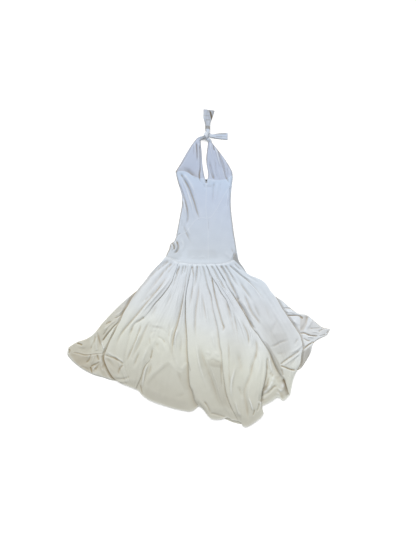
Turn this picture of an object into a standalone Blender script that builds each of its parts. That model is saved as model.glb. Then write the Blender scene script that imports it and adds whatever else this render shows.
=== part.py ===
"""A halter dress of thin cloth, laid flat on its back and seen from the front.

Sizes are in millimetres until a mesh is made, and the frame is +X to the right as the dress is
looked at, +Y towards the neck and +Z up from the surface that it lies on. The origin is under the
middle of the dress. The front lies on the back, and pieces stand SEAM or a little more apart.
"""

import math
from collections import namedtuple

import bmesh
import bpy
import numpy as np
from mathutils import Vector

MM = 0.001
CLOTH = 1.2  # wall of every panel
SEAM = 0.3  # space between two pieces that are sewn together or lie on each other
INSET = 0.4  # how far a sewn edge stands back from the seam's own line
NUDGE = 0.01  # share of a panel over which the way of its edge is measured
ON_BACK = CLOTH + SEAM  # height of a front panel's underside where the back lies under it

# The bodice's seams and edges, from the halter's tips down. Every point is (x, y).
TIP_LEFT = ((-24, 694), (-2, 672))
TIP_RIGHT = ((42, 666), (64, 664))
ARMHOLE_LEFT = ((-24, 694), (-50, 655), (-74, 613), (-101, 560), (-126, 510), (-145, 476))
ARMHOLE_RIGHT = ((64, 664), (99, 615), (121, 583), (145, 545), (165, 509), (181, 474))
SIDE_LEFT = (
    (-145, 476), (-133, 420), (-119, 372), (-106, 325), (-105, 269), (-114, 205), (-134, 80),
)
SIDE_RIGHT = ((181, 474), (183, 441), (177, 392))
HIP_LEFT = ((-134, 80), (-142, 57), (-163, 38), (-169, 12), (-180, -14), (-187, -33))
HIP_RIGHT = (
    (177, 392), (171, 325), (169, 278), (177, 160), (184, 96), (192, 43), (195, 0), (191, -16),
    (183, -33), (178, -51),
)
NECK_LEFT = ((-2, 672), (4, 610), (7, 560), (9, 523), (14, 486), (21, 446), (32, 404))
NECK_RIGHT = ((42, 666), (35, 606), (31, 560), (33, 523), (39, 486), (42, 450), (32, 404))
CENTRE_UPPER = ((32, 404), (31, 325), (30, 250), (35, 185))
CENTRE_LOWER = ((35, 185), (41, 130), (42, 50), (43, -76))
DIAGONAL_LEFT = ((-134, 80), (-75, 111), (-45, 152), (-16, 184), (10, 190), (35, 185))
DIAGONAL_RIGHT = ((35, 185), (52, 190), (78, 223), (104, 269), (140, 339), (177, 392))
HIP_SEAM_LEFT = ((-187, -33), (-153, -45), (-130, -61), (-97, -69), (-50, -75), (43, -76))
HIP_SEAM_RIGHT = ((43, -76), (102, -75), (143, -68), (178, -51))
BACK_TOP = (
    (-142, 470), (-103, 475), (-74, 466), (-42, 444), (-8, 431), (32, 427), (90, 418), (147, 426),
    (178, 448),
)
BACK_LEFT = (
    (-142, 470), (-131, 420), (-104, 325), (-103, 269), (-122, 150), (-140, 57), (-164, 12),
    (-184, -34),
)
BACK_RIGHT = (
    (178, 448), (175, 392), (167, 300), (167, 250), (175, 160), (190, 43), (199, -6), (206, -52),
)
BACK_SEAM = ((-184, -34), (-97, -71), (43, -78), (130, -76), (206, -52))
NECK_SHARE = 0.5  # share of an upper panel's length down to the foot of the neck opening
ARMHOLE_LEFT_SHARE = 0.42  # share of the left upper panel's length down to the top of the side seam
ARMHOLE_RIGHT_SHARE = 0.8  # the same on the right, where the panel ends higher
LABEL_ROOM = 1.4  # how far the front is raised where the label lies under it
LABEL_REACH = 30  # the raised place's size round the label, and that of its slope
FALL_START = 30  # how far above the back's top edge the front starts to come down
FALL_LENGTH = 40

# The skirt's side edges and hem. The front lies over the gores at its sides.
SKIRT_LEFT = (
    (-187, -33), (-216, -69), (-240, -95), (-268, -129), (-288, -159), (-313, -192), (-333, -219),
    (-347, -243), (-362, -269), (-378, -303), (-395, -335), (-410, -378), (-424, -409),
    (-435, -437), (-446, -462), (-457, -485), (-470, -522), (-479, -547), (-480, -569),
    (-470, -595), (-456, -622), (-434, -653), (-410, -674), (-390, -685),
)
SKIRT_RIGHT = (
    (178, -51), (200, -70), (221, -94), (243, -122), (265, -139), (295, -151), (328, -166),
    (348, -186), (368, -221), (393, -253), (422, -309), (446, -348), (469, -386), (493, -422),
    (512, -455), (517, -485), (520, -517), (511, -544), (506, -578), (497, -603), (482, -626),
)
HEM = (
    (-390, -685), (-359, -697), (-329, -708), (-304, -719), (-283, -740), (-258, -757),
    (-193, -783), (-134, -800), (-80, -812), (-41, -816), (-22, -807), (-3, -792), (17, -805),
    (41, -834), (56, -848), (80, -853), (109, -850), (138, -844), (158, -855), (186, -859),
    (201, -866), (210, -882), (224, -886), (244, -879), (269, -864), (298, -843), (313, -821),
    (302, -796), (335, -779), (365, -763), (388, -748), (399, -761), (411, -768), (429, -753),
    (443, -740), (451, -712), (463, -670), (482, -626),
)
GORE_LEFT_OUTER = (
    (-330, -216), (-375, -254), (-462, -341), (-505, -392), (-547, -447), (-579, -469),
    (-628, -486), (-667, -512),
)
GORE_LEFT_HEM = (
    (-667, -512), (-669, -546), (-649, -571), (-613, -600), (-537, -641), (-475, -659),
    (-429, -672), (-372, -674),
)
GORE_LEFT_INNER = (
    (-316, -226), (-345, -300), (-385, -400), (-418, -500), (-410, -600), (-372, -674),
)
GORE_RIGHT_OUTER = (
    (380, -240), (431, -274), (469, -309), (514, -341), (548, -346), (597, -384), (630, -410),
    (669, -419),
)
GORE_RIGHT_HEM = (
    (669, -419), (650, -449), (612, -466), (575, -495), (561, -535), (533, -579), (491, -622),
    (462, -624),
)
GORE_RIGHT_INNER = ((362, -246), (398, -320), (440, -400), (468, -490), (474, -560), (462, -624))
BACK_SKIRT_LEFT = ((-184, -34), (-240, -104), (-285, -160), (-316, -226))
BACK_SKIRT_RIGHT = (
    (206, -52), (216, -71), (228, -87), (240, -108), (251, -128), (300, -172), (362, -246),
)
BACK_HEM = (
    (-372, -674), (-290, -722), (-190, -775), (-57, -803), (0, -790), (90, -836), (225, -870),
    (300, -790), (400, -740), (462, -624),
)
UPPER_SHARE = 0.3  # share of the back skirt's length above the gores

# One row for each line that runs from the hip seam down to the hem, from left to right. seam and
# hem are its ends, as distances along the hip seam and the hem from their left ends, and upper,
# middle and lower are points a quarter, half and three quarters of the way. left and right are the
# cloth's heights on each side of the line, lean is +1 or -1 where the higher side hangs over its
# right or left neighbour, and a step between the sides starts and ends at those shares of the way.
# bulge is the crest and gathers the number of gathers between this line and the next.
Line = namedtuple("Line", "seam upper middle lower hem left right lean starts ends bulge gathers")
SKIRT_LINES = (
    Line(0, None, None, None, 0, 0, 0, 0, 0, 1, 6, 2),
    Line(24, (-262, -172), (-344, -310), (-404, -450), 31, 3, 3, 0, 0, 1, 5, 2),
    Line(49, (-222, -196), (-300, -318), (-372, -470), 57, 3, 3, 0, 0, 1, 6, 2),
    Line(75, (-172, -205), (-250, -325), (-328, -478), 81, 9, 1, 1, 0, 0.85, 4, 2),
    Line(99, (-112, -240), (-160, -390), (-236, -530), 110, 7, 2, 1, 0.5, 1.3, 4, 2),
    Line(119, (-82, -235), (-108, -390), (-137, -524), 227, 1, 8, -1, 0, 0.75, 3, 2),
    Line(138, (-73, -245), (-68, -420), (-56, -600), 412, 1, 10, -1, 0, 1.3, 4, 4),
    Line(196, (5, -270), (18, -450), (42, -640), 521, 4, 4, 0, 0, 1, 3, 4),
    Line(250, (84, -265), (113, -440), (116, -620), 633, 1, 9, -1, 0, 1.3, 4, 3),
    Line(284, (142, -290), (205, -470), (225, -680), 699, 6, 6, 0, 0, 1, 4, 2),
    Line(303, (178, -262), (268, -424), (335, -592), 761, 8, 1, 1, 0.55, 1.3, 2, 1),
    Line(317, (196, -240), (292, -416), (373, -578), 954, 0, 11, -1, 0, 1.3, 6, 2),
    Line(345, (252, -200), (360, -330), (436, -490), 1074, 6, 6, 0, 0, 1, 5, 3),
    Line(377.9, None, None, None, 1122.3, 0, 0, 0, 0, 1, 0, 0),
)
HIP_SEAM = HIP_SEAM_LEFT + HIP_SEAM_RIGHT[1:]
EVEN_SHARE = 0.6  # share of the way at which the lines' distances set the columns
GATHER_HEIGHT = 4.0
GATHER_REACH = 0.13  # share of the skirt's length in which a gather fades
STEP = 0.06  # share of a petal's width in which a step falls
STEP_GROWS = 0.2  # share of the skirt's length in which a step grows or fades
LEAN = 0.7  # how far a step leans over for each unit of its height
AT_SEAM = 0.2  # share of the petals' height at the hip seam, full from FULL_FROM down
FULL_FROM = 0.3
SEAM_BLEND = 0.1  # shares of the length in which the lines meet the hip seam and the hem
HEM_BLEND = 0.2
CREASE_FROM = 0.2  # share of the length in which the creases grow below the hip seam
SIDE_FALL = 0.03  # share across in which the front skirt comes down to its side edge
SKIRT_ROWS = (0, 0.03, 0.08, 0.15, 0.24, 0.35, 0.47, 0.59, 0.7, 0.81, 0.91, 1)

CREASE_FADE = 0.22  # share of a crease in which it grows and fades
# One row for each crease: a soft ridge along three points, a trough where height is below 0. steep
# is its width on the right of its way, and lean how far it hangs over that side.
Crease = namedtuple("Crease", "start middle end width steep height lean")
BODICE_CREASES = (
    Crease((-140, 455), (-84, 372), (-34, 230), 20, 14, 6, 0),
    Crease((-128, 400), (-95, 300), (-84, 150), 16, 14, 5, 0),
    Crease((-102, 150), (-90, 95), (-62, 35), 16, 14, 4, 0),
    Crease((-146, 52), (-134, 16), (-160, -16), 14, 14, 10, 0),
    Crease((-20, 690), (-46, 600), (-70, 490), 14, 12, 4, 0),
    Crease((-16, 680), (-20, 560), (-26, 450), 10, 10, 5, 0),
    Crease((0, 640), (8, 520), (20, 430), 8, 8, 4, 0),
    Crease((50, 660), (46, 560), (60, 450), 10, 10, 5, 0),
    Crease((58, 660), (74, 560), (96, 430), 10, 10, 5, 0),
    Crease((66, 656), (106, 560), (132, 440), 11, 11, 5, 0),
    Crease((80, 640), (138, 550), (172, 450), 11, 11, 4, 0),
    Crease((150, -8), (172, -20), (190, -8), 14, 14, 5, 0),
)
SKIRT_CREASES = (
    Crease((-250, -640), (-228, -455), (-170, -520), 26, 26, 8, 0),
    Crease((-390, -600), (-340, -500), (-262, -400), 20, 20, 4, 0),
    Crease((50, -180), (52, -380), (62, -560), 26, 26, 4, 0),
    Crease((10, -620), (40, -700), (90, -800), 26, 26, 5, 0),
    Crease((170, -600), (180, -700), (220, -830), 26, 26, 5, 0),
    Crease((230, -370), (265, -520), (270, -700), 26, 26, 4, 0),
    Crease((380, -570), (440, -556), (500, -520), 24, 24, 6, 0),
    Crease((340, -640), (370, -680), (400, -740), 22, 22, 6, 0),
)
GORE_CLEAR = 4  # how far beside the front's edge the gore's folds start to rise
GORE_RISE = 24
GORE_CREASES = (
    Crease((-392, -290), (-452, -372), (-505, -440), 16, 16, 7, 0),
    Crease((-655, -517), (-590, -520), (-500, -535), 22, 14, 13, 0),
    Crease((-500, -450), (-530, -480), (-570, -500), 22, 22, 8, 0),
    Crease((-650, -560), (-600, -575), (-575, -610), 20, 20, 8, 0),
    Crease((-500, -560), (-515, -600), (-490, -645), 20, 20, 9, 0),
    Crease((452, -318), (492, -346), (540, -360), 16, 16, 8, 0),
    Crease((510, -410), (580, -412), (650, -424), 20, 18, 13, 0),
    Crease((525, -460), (560, -470), (590, -472), 18, 18, 8, 0),
    Crease((512, -590), (530, -550), (542, -520), 18, 18, 5, 0),
)

# The halter's ties. One row for each section along a tie: its middle, its width and its depth.
Section = namedtuple("Section", "x y z width depth")
CORNERS = 12  # corners of each section
FULLNESS = 2.6  # how far a section fills its corners: 2 is an ellipse
KNOT_MIDDLE = Vector((33, 706, 12.8))
KNOT_AXIS = Vector((0.62, 0.78, 0)).normalized()
KNOT_RADIUS = 10.2  # middle of the right tie's cloth where it goes round the left tie
KNOT_DEPTH = 5.0
KNOT_WIDTH = 19.0
KNOT_SPREAD = 1.5  # how much wider than high its turn is
KNOT_PITCH = 27.0  # how far the right tie moves along the left one in its turn
KNOT_TURN = 270.0
KNOT_STEPS = 10
TIE_LEFT = (
    Section(-13, 683, 2, 27, 3.2), Section(-6, 689.5, 4.6, 22, 5), Section(15, 693, 11.8, 14, 11),
    Section(33, 706, 12.8, 12.4, 13), Section(42, 723, 12.4, 15, 12), Section(42, 748, 9, 27, 8),
    Section(39, 774, 6, 28, 7), Section(39, 804, 4.6, 37, 6), Section(40, 829, 3.6, 52, 5),
    Section(44, 857, 2.8, 60, 4.2), Section(48, 885, 2, 68, 3.2),
)
TIE_RIGHT_START = (
    Section(53, 665, 1.9, 20, 3.2), Section(53.5, 670.5, 3, 20, 4), Section(47, 678, 7, 19, 5),
)
TIE_RIGHT_END = (
    Section(66, 706, 3.6, 22, 5), Section(92, 706, 3, 32, 4.4), Section(120, 706, 2.4, 40, 3.8),
    Section(157, 705, 2, 46, 3.4),
)
LABEL_SIZE = (32, 12, 0.6)
LABEL_MIDDLE = (32, 419)

COLOURS = {
    "cloth": (0.80, 0.81, 0.83, 1),
    "label": (0.03, 0.03, 0.035, 1),
}


def through(knots, values, at):
    """A smooth line through the values at the knots, read at each place in at."""
    knots, values, at = (np.asarray(x, float) for x in (knots, values, at))
    slopes = np.gradient(values, knots, axis=0)
    i = np.clip(np.searchsorted(knots, at, side="right") - 1, 0, len(knots) - 2)
    step = (knots[i + 1] - knots[i])[:, None]
    s = (at - knots[i])[:, None] / step
    start = values[i] * (1 + 2 * s) * (1 - s) ** 2 + slopes[i] * step * s * (1 - s) ** 2
    end = values[i + 1] * (3 - 2 * s) * s**2 - slopes[i + 1] * step * s**2 * (1 - s)
    return start + end


def edge(points, share):
    """Points at these shares of the length of a smooth line through some points."""
    points = np.array(points, float)
    if len(points) == 2:
        return points[0] + (points[1] - points[0]) * np.asarray(share, float)[:, None]
    along = np.concatenate([[0], np.cumsum(np.linalg.norm(np.diff(points, axis=0), axis=1))])
    return through(along / along[-1], points, share)


def joined(first, second, change):
    """An edge of two smooth lines that meet in a corner at the share change."""
    def at(share):
        share = np.asarray(share, float)
        upper = edge(first, np.minimum(share / change, 1))
        lower = edge(second, np.maximum((share - change) / (1 - change), 0))
        return np.where((share <= change)[:, None], upper, lower)
    return at


def smooth(points):
    """An edge that is one smooth line."""
    return lambda share: edge(points, share)


def ease(x):
    """0 below 0, 1 above 1, and a smooth rise between."""
    x = np.clip(x, 0, 1)
    return x * x * (3 - 2 * x)


def crease_shape(plan, crease):
    """The height that one crease adds at each point of a plan, and the way that it leans."""
    line = edge((crease.start, crease.middle, crease.end), np.linspace(0, 1, 13))
    start, run = line[:-1], np.diff(line, axis=0)
    offset = plan[:, None, :] - start
    share = np.clip((offset * run).sum(2) / (run * run).sum(1), 0, 1)
    gap = offset - share[..., None] * run
    far = np.linalg.norm(gap, axis=2)
    k = np.arange(len(plan))
    near = far.argmin(1)
    right = np.column_stack([run[near, 1], -run[near, 0]])
    right /= np.linalg.norm(right, axis=1)[:, None]
    width = np.where((gap[k, near] * right).sum(1) > 0, crease.steep, crease.width)
    at = (near + share[k, near]) / len(run)
    fade = ease(np.minimum(at, 1 - at) / CREASE_FADE)
    height = crease.height * fade * np.exp(-((far[k, near] / width) ** 2))
    return height, right * (height * crease.lean)[:, None]


def creased(plan, creases):
    """All the creases' height together, and how far they move the cloth sideways."""
    shapes = [crease_shape(plan, crease) for crease in creases]
    return np.maximum(0, sum(s[0] for s in shapes)), sum(s[1] for s in shapes)


def patch(left, right, top, bottom, u, v):
    """A flat panel between four edges, at the shares u across and v down."""
    sides = left(v) * (1 - u[:, None]) + right(v) * u[:, None]
    ends = top(u) * (1 - v[:, None]) + bottom(u) * v[:, None]
    tips = np.array([0.0, 1.0])
    corners = (left(tips)[0], right(tips)[0], left(tips)[1], right(tips)[1])
    weights = ((1 - u) * (1 - v), u * (1 - v), (1 - u) * v, u * v)
    return sides + ends - sum(w[:, None] * c for w, c in zip(weights, corners))


def sewn(place):
    """The flat plan of place(u, v) with its rim drawn in by INSET."""
    def plan(u, v):
        points = place(u, v)
        moved = points.copy()
        for value, rim, du, dv in ((u, 0, 1, 0), (u, 1, -1, 0), (v, 0, 0, 1), (v, 1, 0, -1)):
            on = value == rim
            way = place(u[on] + 2 * du * NUDGE, v[on] + 2 * dv * NUDGE) - points[on]
            along = place(np.clip(u[on] + dv * NUDGE, 0, 1), np.clip(v[on] + du * NUDGE, 0, 1))
            along = along - place(np.clip(u[on] - dv * NUDGE, 0, 1), np.clip(v[on] - du * NUDGE, 0, 1))
            along /= np.maximum(np.linalg.norm(along, axis=1), 1e-9)[:, None]
            way = way - along * (way * along).sum(1)[:, None]
            moved[on] += way / np.maximum(np.linalg.norm(way, axis=1), 1e-9)[:, None] * INSET
        return moved
    return plan


def material(name, roughness):
    """A Principled finish in the colour of that name."""
    made = bpy.data.materials.new(name)
    made.use_nodes = True
    shader = made.node_tree.nodes["Principled BSDF"]
    shader.inputs["Base Color"].default_value = COLOURS[name]
    shader.inputs["Roughness"].default_value = roughness
    shader.inputs["Metallic"].default_value = 0.0
    made.diffuse_color = COLOURS[name]
    return made


def add(name, body, finish, parts):
    """A named object in the dress's collection, from a mesh that is still being edited."""
    mesh = bpy.data.meshes.new(name)
    body.to_mesh(mesh)
    body.free()
    mesh.materials.append(finish)
    mesh.shade_smooth()
    piece = bpy.data.objects.new(name, mesh)
    parts.objects.link(piece)
    return piece


def panel(name, columns, rows, place, finish, parts):
    """A cloth panel: a grid whose points go to place(u, v), thickened upwards by the cloth's wall."""
    grid = bmesh.new()
    bmesh.ops.create_grid(grid, x_segments=len(columns) - 1, y_segments=len(rows) - 1, size=0.5)
    across = [round((v.co.x + 0.5) * (len(columns) - 1)) for v in grid.verts]
    down = [round((0.5 - v.co.y) * (len(rows) - 1)) for v in grid.verts]
    points = place(np.asarray(columns, float)[across], np.asarray(rows, float)[down])
    for vertex, point in zip(grid.verts, points * MM):
        vertex.co = point
    piece = add(name, grid, finish, parts)
    wall = piece.modifiers.new("wall", "SOLIDIFY")
    wall.thickness = CLOTH * MM
    wall.offset = 1
    return piece


def bodice_rise(plan):
    """The height of the front bodice's underside: on the back, and on the surface above its top."""
    line = edge(BACK_TOP, np.linspace(0, 1, 40))
    top = np.interp(plan[:, 0], line[:, 0], line[:, 1])
    on_back = ON_BACK * (1 - ease((plan[:, 1] - top - FALL_START) / FALL_LENGTH))
    from_label = np.linalg.norm(plan - np.array(LABEL_MIDDLE), axis=1)
    return on_back + LABEL_ROOM * (1 - ease((from_label - LABEL_REACH) / LABEL_REACH))


def front_panel(name, edges, columns, rows, finish, parts):
    """One of the four front bodice panels, with the creases that cross it."""
    flat = sewn(lambda u, v: patch(*edges, u, v))

    def place(u, v):
        plan = flat(u, v)
        return np.column_stack([plan, bodice_rise(plan) + creased(plan, BODICE_CREASES)[0]])

    panel(name, columns, rows, place, finish, parts)


def back_panel(name, edges, columns, rows, finish, parts):
    """A back panel, flat on the surface under the dress."""
    flat = sewn(lambda u, v: patch(*edges, u, v))
    panel(name, columns, rows, lambda u, v: np.column_stack([flat(u, v), np.zeros(len(u))]), finish, parts)


def line_points(v):
    """Where each of the front skirt's lines is at the shares v of its length."""
    shares = np.linspace(0, 1, 5)
    first, last = SKIRT_LINES[0], SKIRT_LINES[-1]
    seams = edge(HIP_SEAM, [line.seam / last.seam for line in SKIRT_LINES])
    hems = edge(HEM, [line.hem / last.hem for line in SKIRT_LINES])
    points = []
    for line, seam, hem in zip(SKIRT_LINES, seams, hems):
        if line is first:
            points.append(edge(SKIRT_LEFT, v))
        elif line is last:
            points.append(edge(SKIRT_RIGHT, v))
        else:
            points.append(through(shares, [seam, line.upper, line.middle, line.lower, hem], v))
    return np.stack(points)


def line_shares():
    """The share across the skirt of each line, from their distances apart near the hem."""
    at = line_points(np.array([EVEN_SHARE]))[:, 0]
    along = np.concatenate([[0], np.cumsum(np.linalg.norm(np.diff(at, axis=0), axis=1))])
    return along / along[-1]


def across_lines(knots, lines, u):
    """Points at the shares u across lines that each have their own point for every u."""
    slopes = np.gradient(lines, knots, axis=0)
    i = np.clip(np.searchsorted(knots, u, side="right") - 1, 0, len(knots) - 2)
    k = np.arange(len(u))
    step = (knots[i + 1] - knots[i])[:, None]
    s = (u - knots[i])[:, None] / step
    start = lines[i, k] * (1 + 2 * s) * (1 - s) ** 2 + slopes[i, k] * step * s * (1 - s) ** 2
    end = lines[i + 1, k] * (3 - 2 * s) * s**2 - slopes[i + 1, k] * step * s**2 * (1 - s)
    return start + end


def skirt_plan(u, v):
    """The front skirt's flat plan: its lines joined across, between the hip seam and the hem."""
    u, v = np.clip(u, 0, 1), np.clip(v, 0, 1)
    knots = line_shares()
    plan = across_lines(knots, line_points(v), u)
    to_seam, to_hem = 1 - ease(v / SEAM_BLEND), ease((v - 1) / HEM_BLEND + 1)
    for table, column, rim, weight in ((HIP_SEAM, 0, 0.0, to_seam), (HEM, 4, 1.0, to_hem)):
        ends = [line[column] / SKIRT_LINES[-1][column] for line in SKIRT_LINES]
        share = np.interp(u, knots, ends)
        meant = edge(table, share)
        made = across_lines(knots, line_points(np.full(len(u), rim)), u)
        plan += (meant - made) * weight[:, None]
    return plan


def skirt_petals(u, v):
    """The front skirt's height in its petals between lines, and how far it leans at each point."""
    knots = line_shares()
    i = np.clip(np.searchsorted(knots, u + 1e-9, side="right") - 1, 0, len(knots) - 2)
    s = np.clip((u - knots[i]) / (knots[i + 1] - knots[i]), 0, 1)
    left, right, lean, starts, ends, bulge, gathers = np.array([line[5:] for line in SKIRT_LINES], float).T
    shown = ease((v[:, None] - starts) / STEP_GROWS) * (1 - ease((v[:, None] - ends) / STEP_GROWS + 1))
    level = np.minimum(left, right)
    left, right = level + (left - level) * shown, level + (right - level) * shown
    k = np.arange(len(u))
    height = right[k, i] * (1 - s) + left[k, i + 1] * s + bulge[i] * np.sin(np.pi * s)
    on_line = s < 1e-6
    height[on_line] = np.maximum(left[k, i], right[k, i])[on_line]
    side = np.where(lean > 0, 1.0, 0.0)
    drop = on_line & (lean[i] != 0)
    height[drop] = (left[k, i] * side[i] + right[k, i] * (1 - side[i]))[drop]
    near_left, near_right = 1 - ease(s / 0.5), ease((s - 0.5) / 0.5)
    leaning = lean[i] * shown[k, i] * near_left + lean[i + 1] * shown[k, i + 1] * near_right
    gather = GATHER_HEIGHT * np.exp(-v / GATHER_REACH) * np.sin(np.pi * gathers[i] * s) ** 2
    return height * (AT_SEAM + (1 - AT_SEAM) * ease(v / FULL_FROM)) + gather, leaning


def skirt_columns():
    """The shares across the front skirt of its columns: on the lines, beside them and on gathers."""
    knots = line_shares()
    columns = []
    for a, b, line in zip(knots, knots[1:], SKIRT_LINES):
        parts = 2 * line.gathers * math.ceil(3 / line.gathers)
        shares = {k / parts for k in range(parts)} | {STEP, 1 - STEP}
        columns += [a + (b - a) * s for s in sorted(shares)]
    return columns + [1.0]


def skirt_front(finish, parts):
    """The front skirt: petals of cloth that fall from the gathered seam and lie over each other."""
    flat = sewn(skirt_plan)

    def place(u, v):
        plan = flat(u, v)
        height, lean = skirt_petals(u, v)
        height = height + creased(plan, SKIRT_CREASES)[0] * ease(v / CREASE_FROM)
        rim = ease(np.minimum(u, 1 - u) / SIDE_FALL)
        across = skirt_plan(u + NUDGE, v) - skirt_plan(u - NUDGE, v)
        across /= np.linalg.norm(across, axis=1)[:, None]
        plan = plan + across * (lean * height * rim * LEAN)[:, None]
        return np.column_stack([plan, ON_BACK + height * rim])

    panel("skirt_front", skirt_columns(), SKIRT_ROWS, place, finish, parts)


def gore(name, edges, side, finish, parts):
    """A side gore: it lies flat under the front's edge, and its folds stand beside that edge."""
    flat = sewn(lambda u, v: patch(*edges, u, v))
    front = edge(SKIRT_LEFT if side < 0 else SKIRT_RIGHT, np.linspace(0, 1, 90))

    def place(u, v):
        plan = flat(u, v)
        away = plan[:, None, :] - front
        clear = np.linalg.norm(away, axis=2).min(1)
        level = np.interp(plan[:, 1], front[::-1, 1], front[::-1, 0])
        beyond = (plan[:, 0] - level) * side > 0
        height = creased(plan, GORE_CREASES)[0] * beyond * ease((clear - GORE_CLEAR) / GORE_RISE)
        return np.column_stack([plan, height])

    panel(name, np.linspace(0, 1, 17), np.linspace(0, 1, 21), place, finish, parts)


def ring(middle, side, lift, width, depth):
    """A flattened round outline about middle, width along side and depth along lift."""
    points = []
    for k in range(CORNERS):
        angle = math.tau * k / CORNERS
        across, up = math.cos(angle), math.sin(angle)
        fuller = (abs(across) ** FULLNESS + abs(up) ** FULLNESS) ** (-1 / FULLNESS)
        points.append(middle + side * (across * fuller * width / 2) + lift * (up * fuller * depth / 2))
    return points


def level_frames(sections, turn):
    """A frame for each section of a tie that lies level; turn is -1 where its face is down."""
    middles = [Vector(section[:3]) for section in sections]
    frames = []
    for k, section in enumerate(sections):
        way = (middles[min(k + 1, len(middles) - 1)] - middles[max(k - 1, 0)]).normalized()
        side = way.cross(Vector((0, 0, 1))).normalized()
        lift = side.cross(way).normalized()
        frames.append((*middles[k], *(side * turn), *(lift * turn), section.width, section.depth))
    return frames


def knot_frames():
    """Frames of the right tie's turn over and round the left one."""
    across = Vector((0, 0, 1)).cross(KNOT_AXIS).normalized()
    frames = []
    for k in range(KNOT_STEPS + 1):
        share = k / KNOT_STEPS
        angle = math.radians(KNOT_TURN * share)
        out = Vector((0, 0, 1)) * math.sin(angle) - across * math.cos(angle)
        wide = Vector((0, 0, 1)) * math.sin(angle) - across * (math.cos(angle) * KNOT_SPREAD)
        middle = KNOT_MIDDLE + wide * KNOT_RADIUS + KNOT_AXIS * (KNOT_PITCH * (share - 0.5))
        frames.append((*middle, *KNOT_AXIS, *out, KNOT_WIDTH, KNOT_DEPTH))
    return frames


def tie(name, frames, steps, finish, parts):
    """A tie: rings along a smooth line through its frames, skinned and closed at both ends."""
    table = np.array(frames)
    along = np.concatenate([[0], np.cumsum(np.linalg.norm(np.diff(table[:, :3], axis=0), axis=1))])
    body = bmesh.new()
    skin = []
    for row in through(along / along[-1], table, np.linspace(0, 1, steps)):
        side, lift = Vector(row[3:6]).normalized(), Vector(row[6:9]).normalized()
        points = ring(Vector(row[:3]), side, lift, row[9], row[10])
        skin.append([body.verts.new(point * MM) for point in points])
    for a, b in zip(skin, skin[1:]):
        for k in range(CORNERS):
            j = (k + 1) % CORNERS
            body.faces.new((a[k], a[j], b[j], b[k]))
    body.faces.new(skin[0][::-1])
    body.faces.new(skin[-1])
    bmesh.ops.recalc_face_normals(body, faces=body.faces)
    add(name, body, finish, parts)


def label(finish, parts):
    """A plain woven label, sewn inside the top edge of the back."""
    body = bmesh.new()
    bmesh.ops.create_cube(body, size=1)
    bmesh.ops.scale(body, vec=Vector(LABEL_SIZE) * MM, verts=body.verts)
    piece = add("label", body, finish, parts)
    piece.location = Vector((*LABEL_MIDDLE, CLOTH + SEAM + LABEL_SIZE[2] / 2)) * MM


def main():
    for old in list(bpy.data.objects):
        bpy.data.objects.remove(old)
    parts = bpy.data.collections.new("halter_dress")
    bpy.context.scene.collection.children.link(parts)
    cloth = material("cloth", 0.85)
    woven = material("label", 0.7)

    neck_left = joined(NECK_LEFT, CENTRE_UPPER, NECK_SHARE)
    neck_right = joined(NECK_RIGHT, CENTRE_UPPER, NECK_SHARE)
    armhole_left = joined(ARMHOLE_LEFT, SIDE_LEFT, ARMHOLE_LEFT_SHARE)
    armhole_right = joined(ARMHOLE_RIGHT, SIDE_RIGHT, ARMHOLE_RIGHT_SHARE)
    centre, hip_left, hip_right = smooth(CENTRE_LOWER), smooth(HIP_LEFT), smooth(HIP_RIGHT)
    diagonal_left, diagonal_right = smooth(DIAGONAL_LEFT), smooth(DIAGONAL_RIGHT)
    columns, rows, few = np.linspace(0, 1, 15), np.linspace(0, 1, 25), np.linspace(0, 1, 11)
    upper_left = (armhole_left, neck_left, smooth(TIP_LEFT), diagonal_left)
    upper_right = (neck_right, armhole_right, smooth(TIP_RIGHT), diagonal_right)
    lower_left = (hip_left, centre, diagonal_left, smooth(HIP_SEAM_LEFT))
    lower_right = (centre, hip_right, diagonal_right, smooth(HIP_SEAM_RIGHT))
    front_panel("front_upper_left", upper_left, columns, rows, cloth, parts)
    front_panel("front_upper_right", upper_right, columns, rows, cloth, parts)
    front_panel("front_lower_left", lower_left, columns, few, cloth, parts)
    front_panel("front_lower_right", lower_right, columns, few, cloth, parts)
    skirt_front(cloth, parts)
    left, right = smooth(GORE_LEFT_INNER), smooth(GORE_RIGHT_INNER)
    top_left = smooth((GORE_LEFT_OUTER[0], GORE_LEFT_INNER[0]))
    top_right = smooth((GORE_RIGHT_INNER[0], GORE_RIGHT_OUTER[0]))
    gore("gore_left", (smooth(GORE_LEFT_OUTER), left, top_left, smooth(GORE_LEFT_HEM)), -1, cloth, parts)
    hem_right = smooth(GORE_RIGHT_HEM[::-1])
    gore("gore_right", (right, smooth(GORE_RIGHT_OUTER), top_right, hem_right), 1, cloth, parts)
    back = (smooth(BACK_LEFT), smooth(BACK_RIGHT), smooth(BACK_TOP), smooth(BACK_SEAM))
    back_panel("back", back, np.linspace(0, 1, 13), np.linspace(0, 1, 13), cloth, parts)
    side_left = joined(BACK_SKIRT_LEFT, GORE_LEFT_INNER, UPPER_SHARE)
    side_right = joined(BACK_SKIRT_RIGHT, GORE_RIGHT_INNER, UPPER_SHARE)
    back_skirt = (side_left, side_right, smooth(BACK_SEAM), smooth(BACK_HEM))
    back_rows = (0, 0.1, 0.2, *(UPPER_SHARE + (1 - UPPER_SHARE) * k / 10 for k in range(11)))
    back_panel("skirt_back", back_skirt, np.linspace(0, 1, 13), back_rows, cloth, parts)
    tie("tie_left", level_frames(TIE_LEFT, 1), 28, cloth, parts)
    right_tie = level_frames(TIE_RIGHT_START, 1) + knot_frames() + level_frames(TIE_RIGHT_END, -1)
    tie("tie_right", right_tie, 34, cloth, parts)
    label(woven, parts)


main()
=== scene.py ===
"""Looks of the halter dress: thin cloth shells on the solids' forms, finish, floor, light and camera.

Sizes are in millimetres until a mesh is made. +X is to the right as the dress is looked at, +Y
towards the neck and +Z up. The front's folds are placed in short tables, one row a fold.
"""

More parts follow.
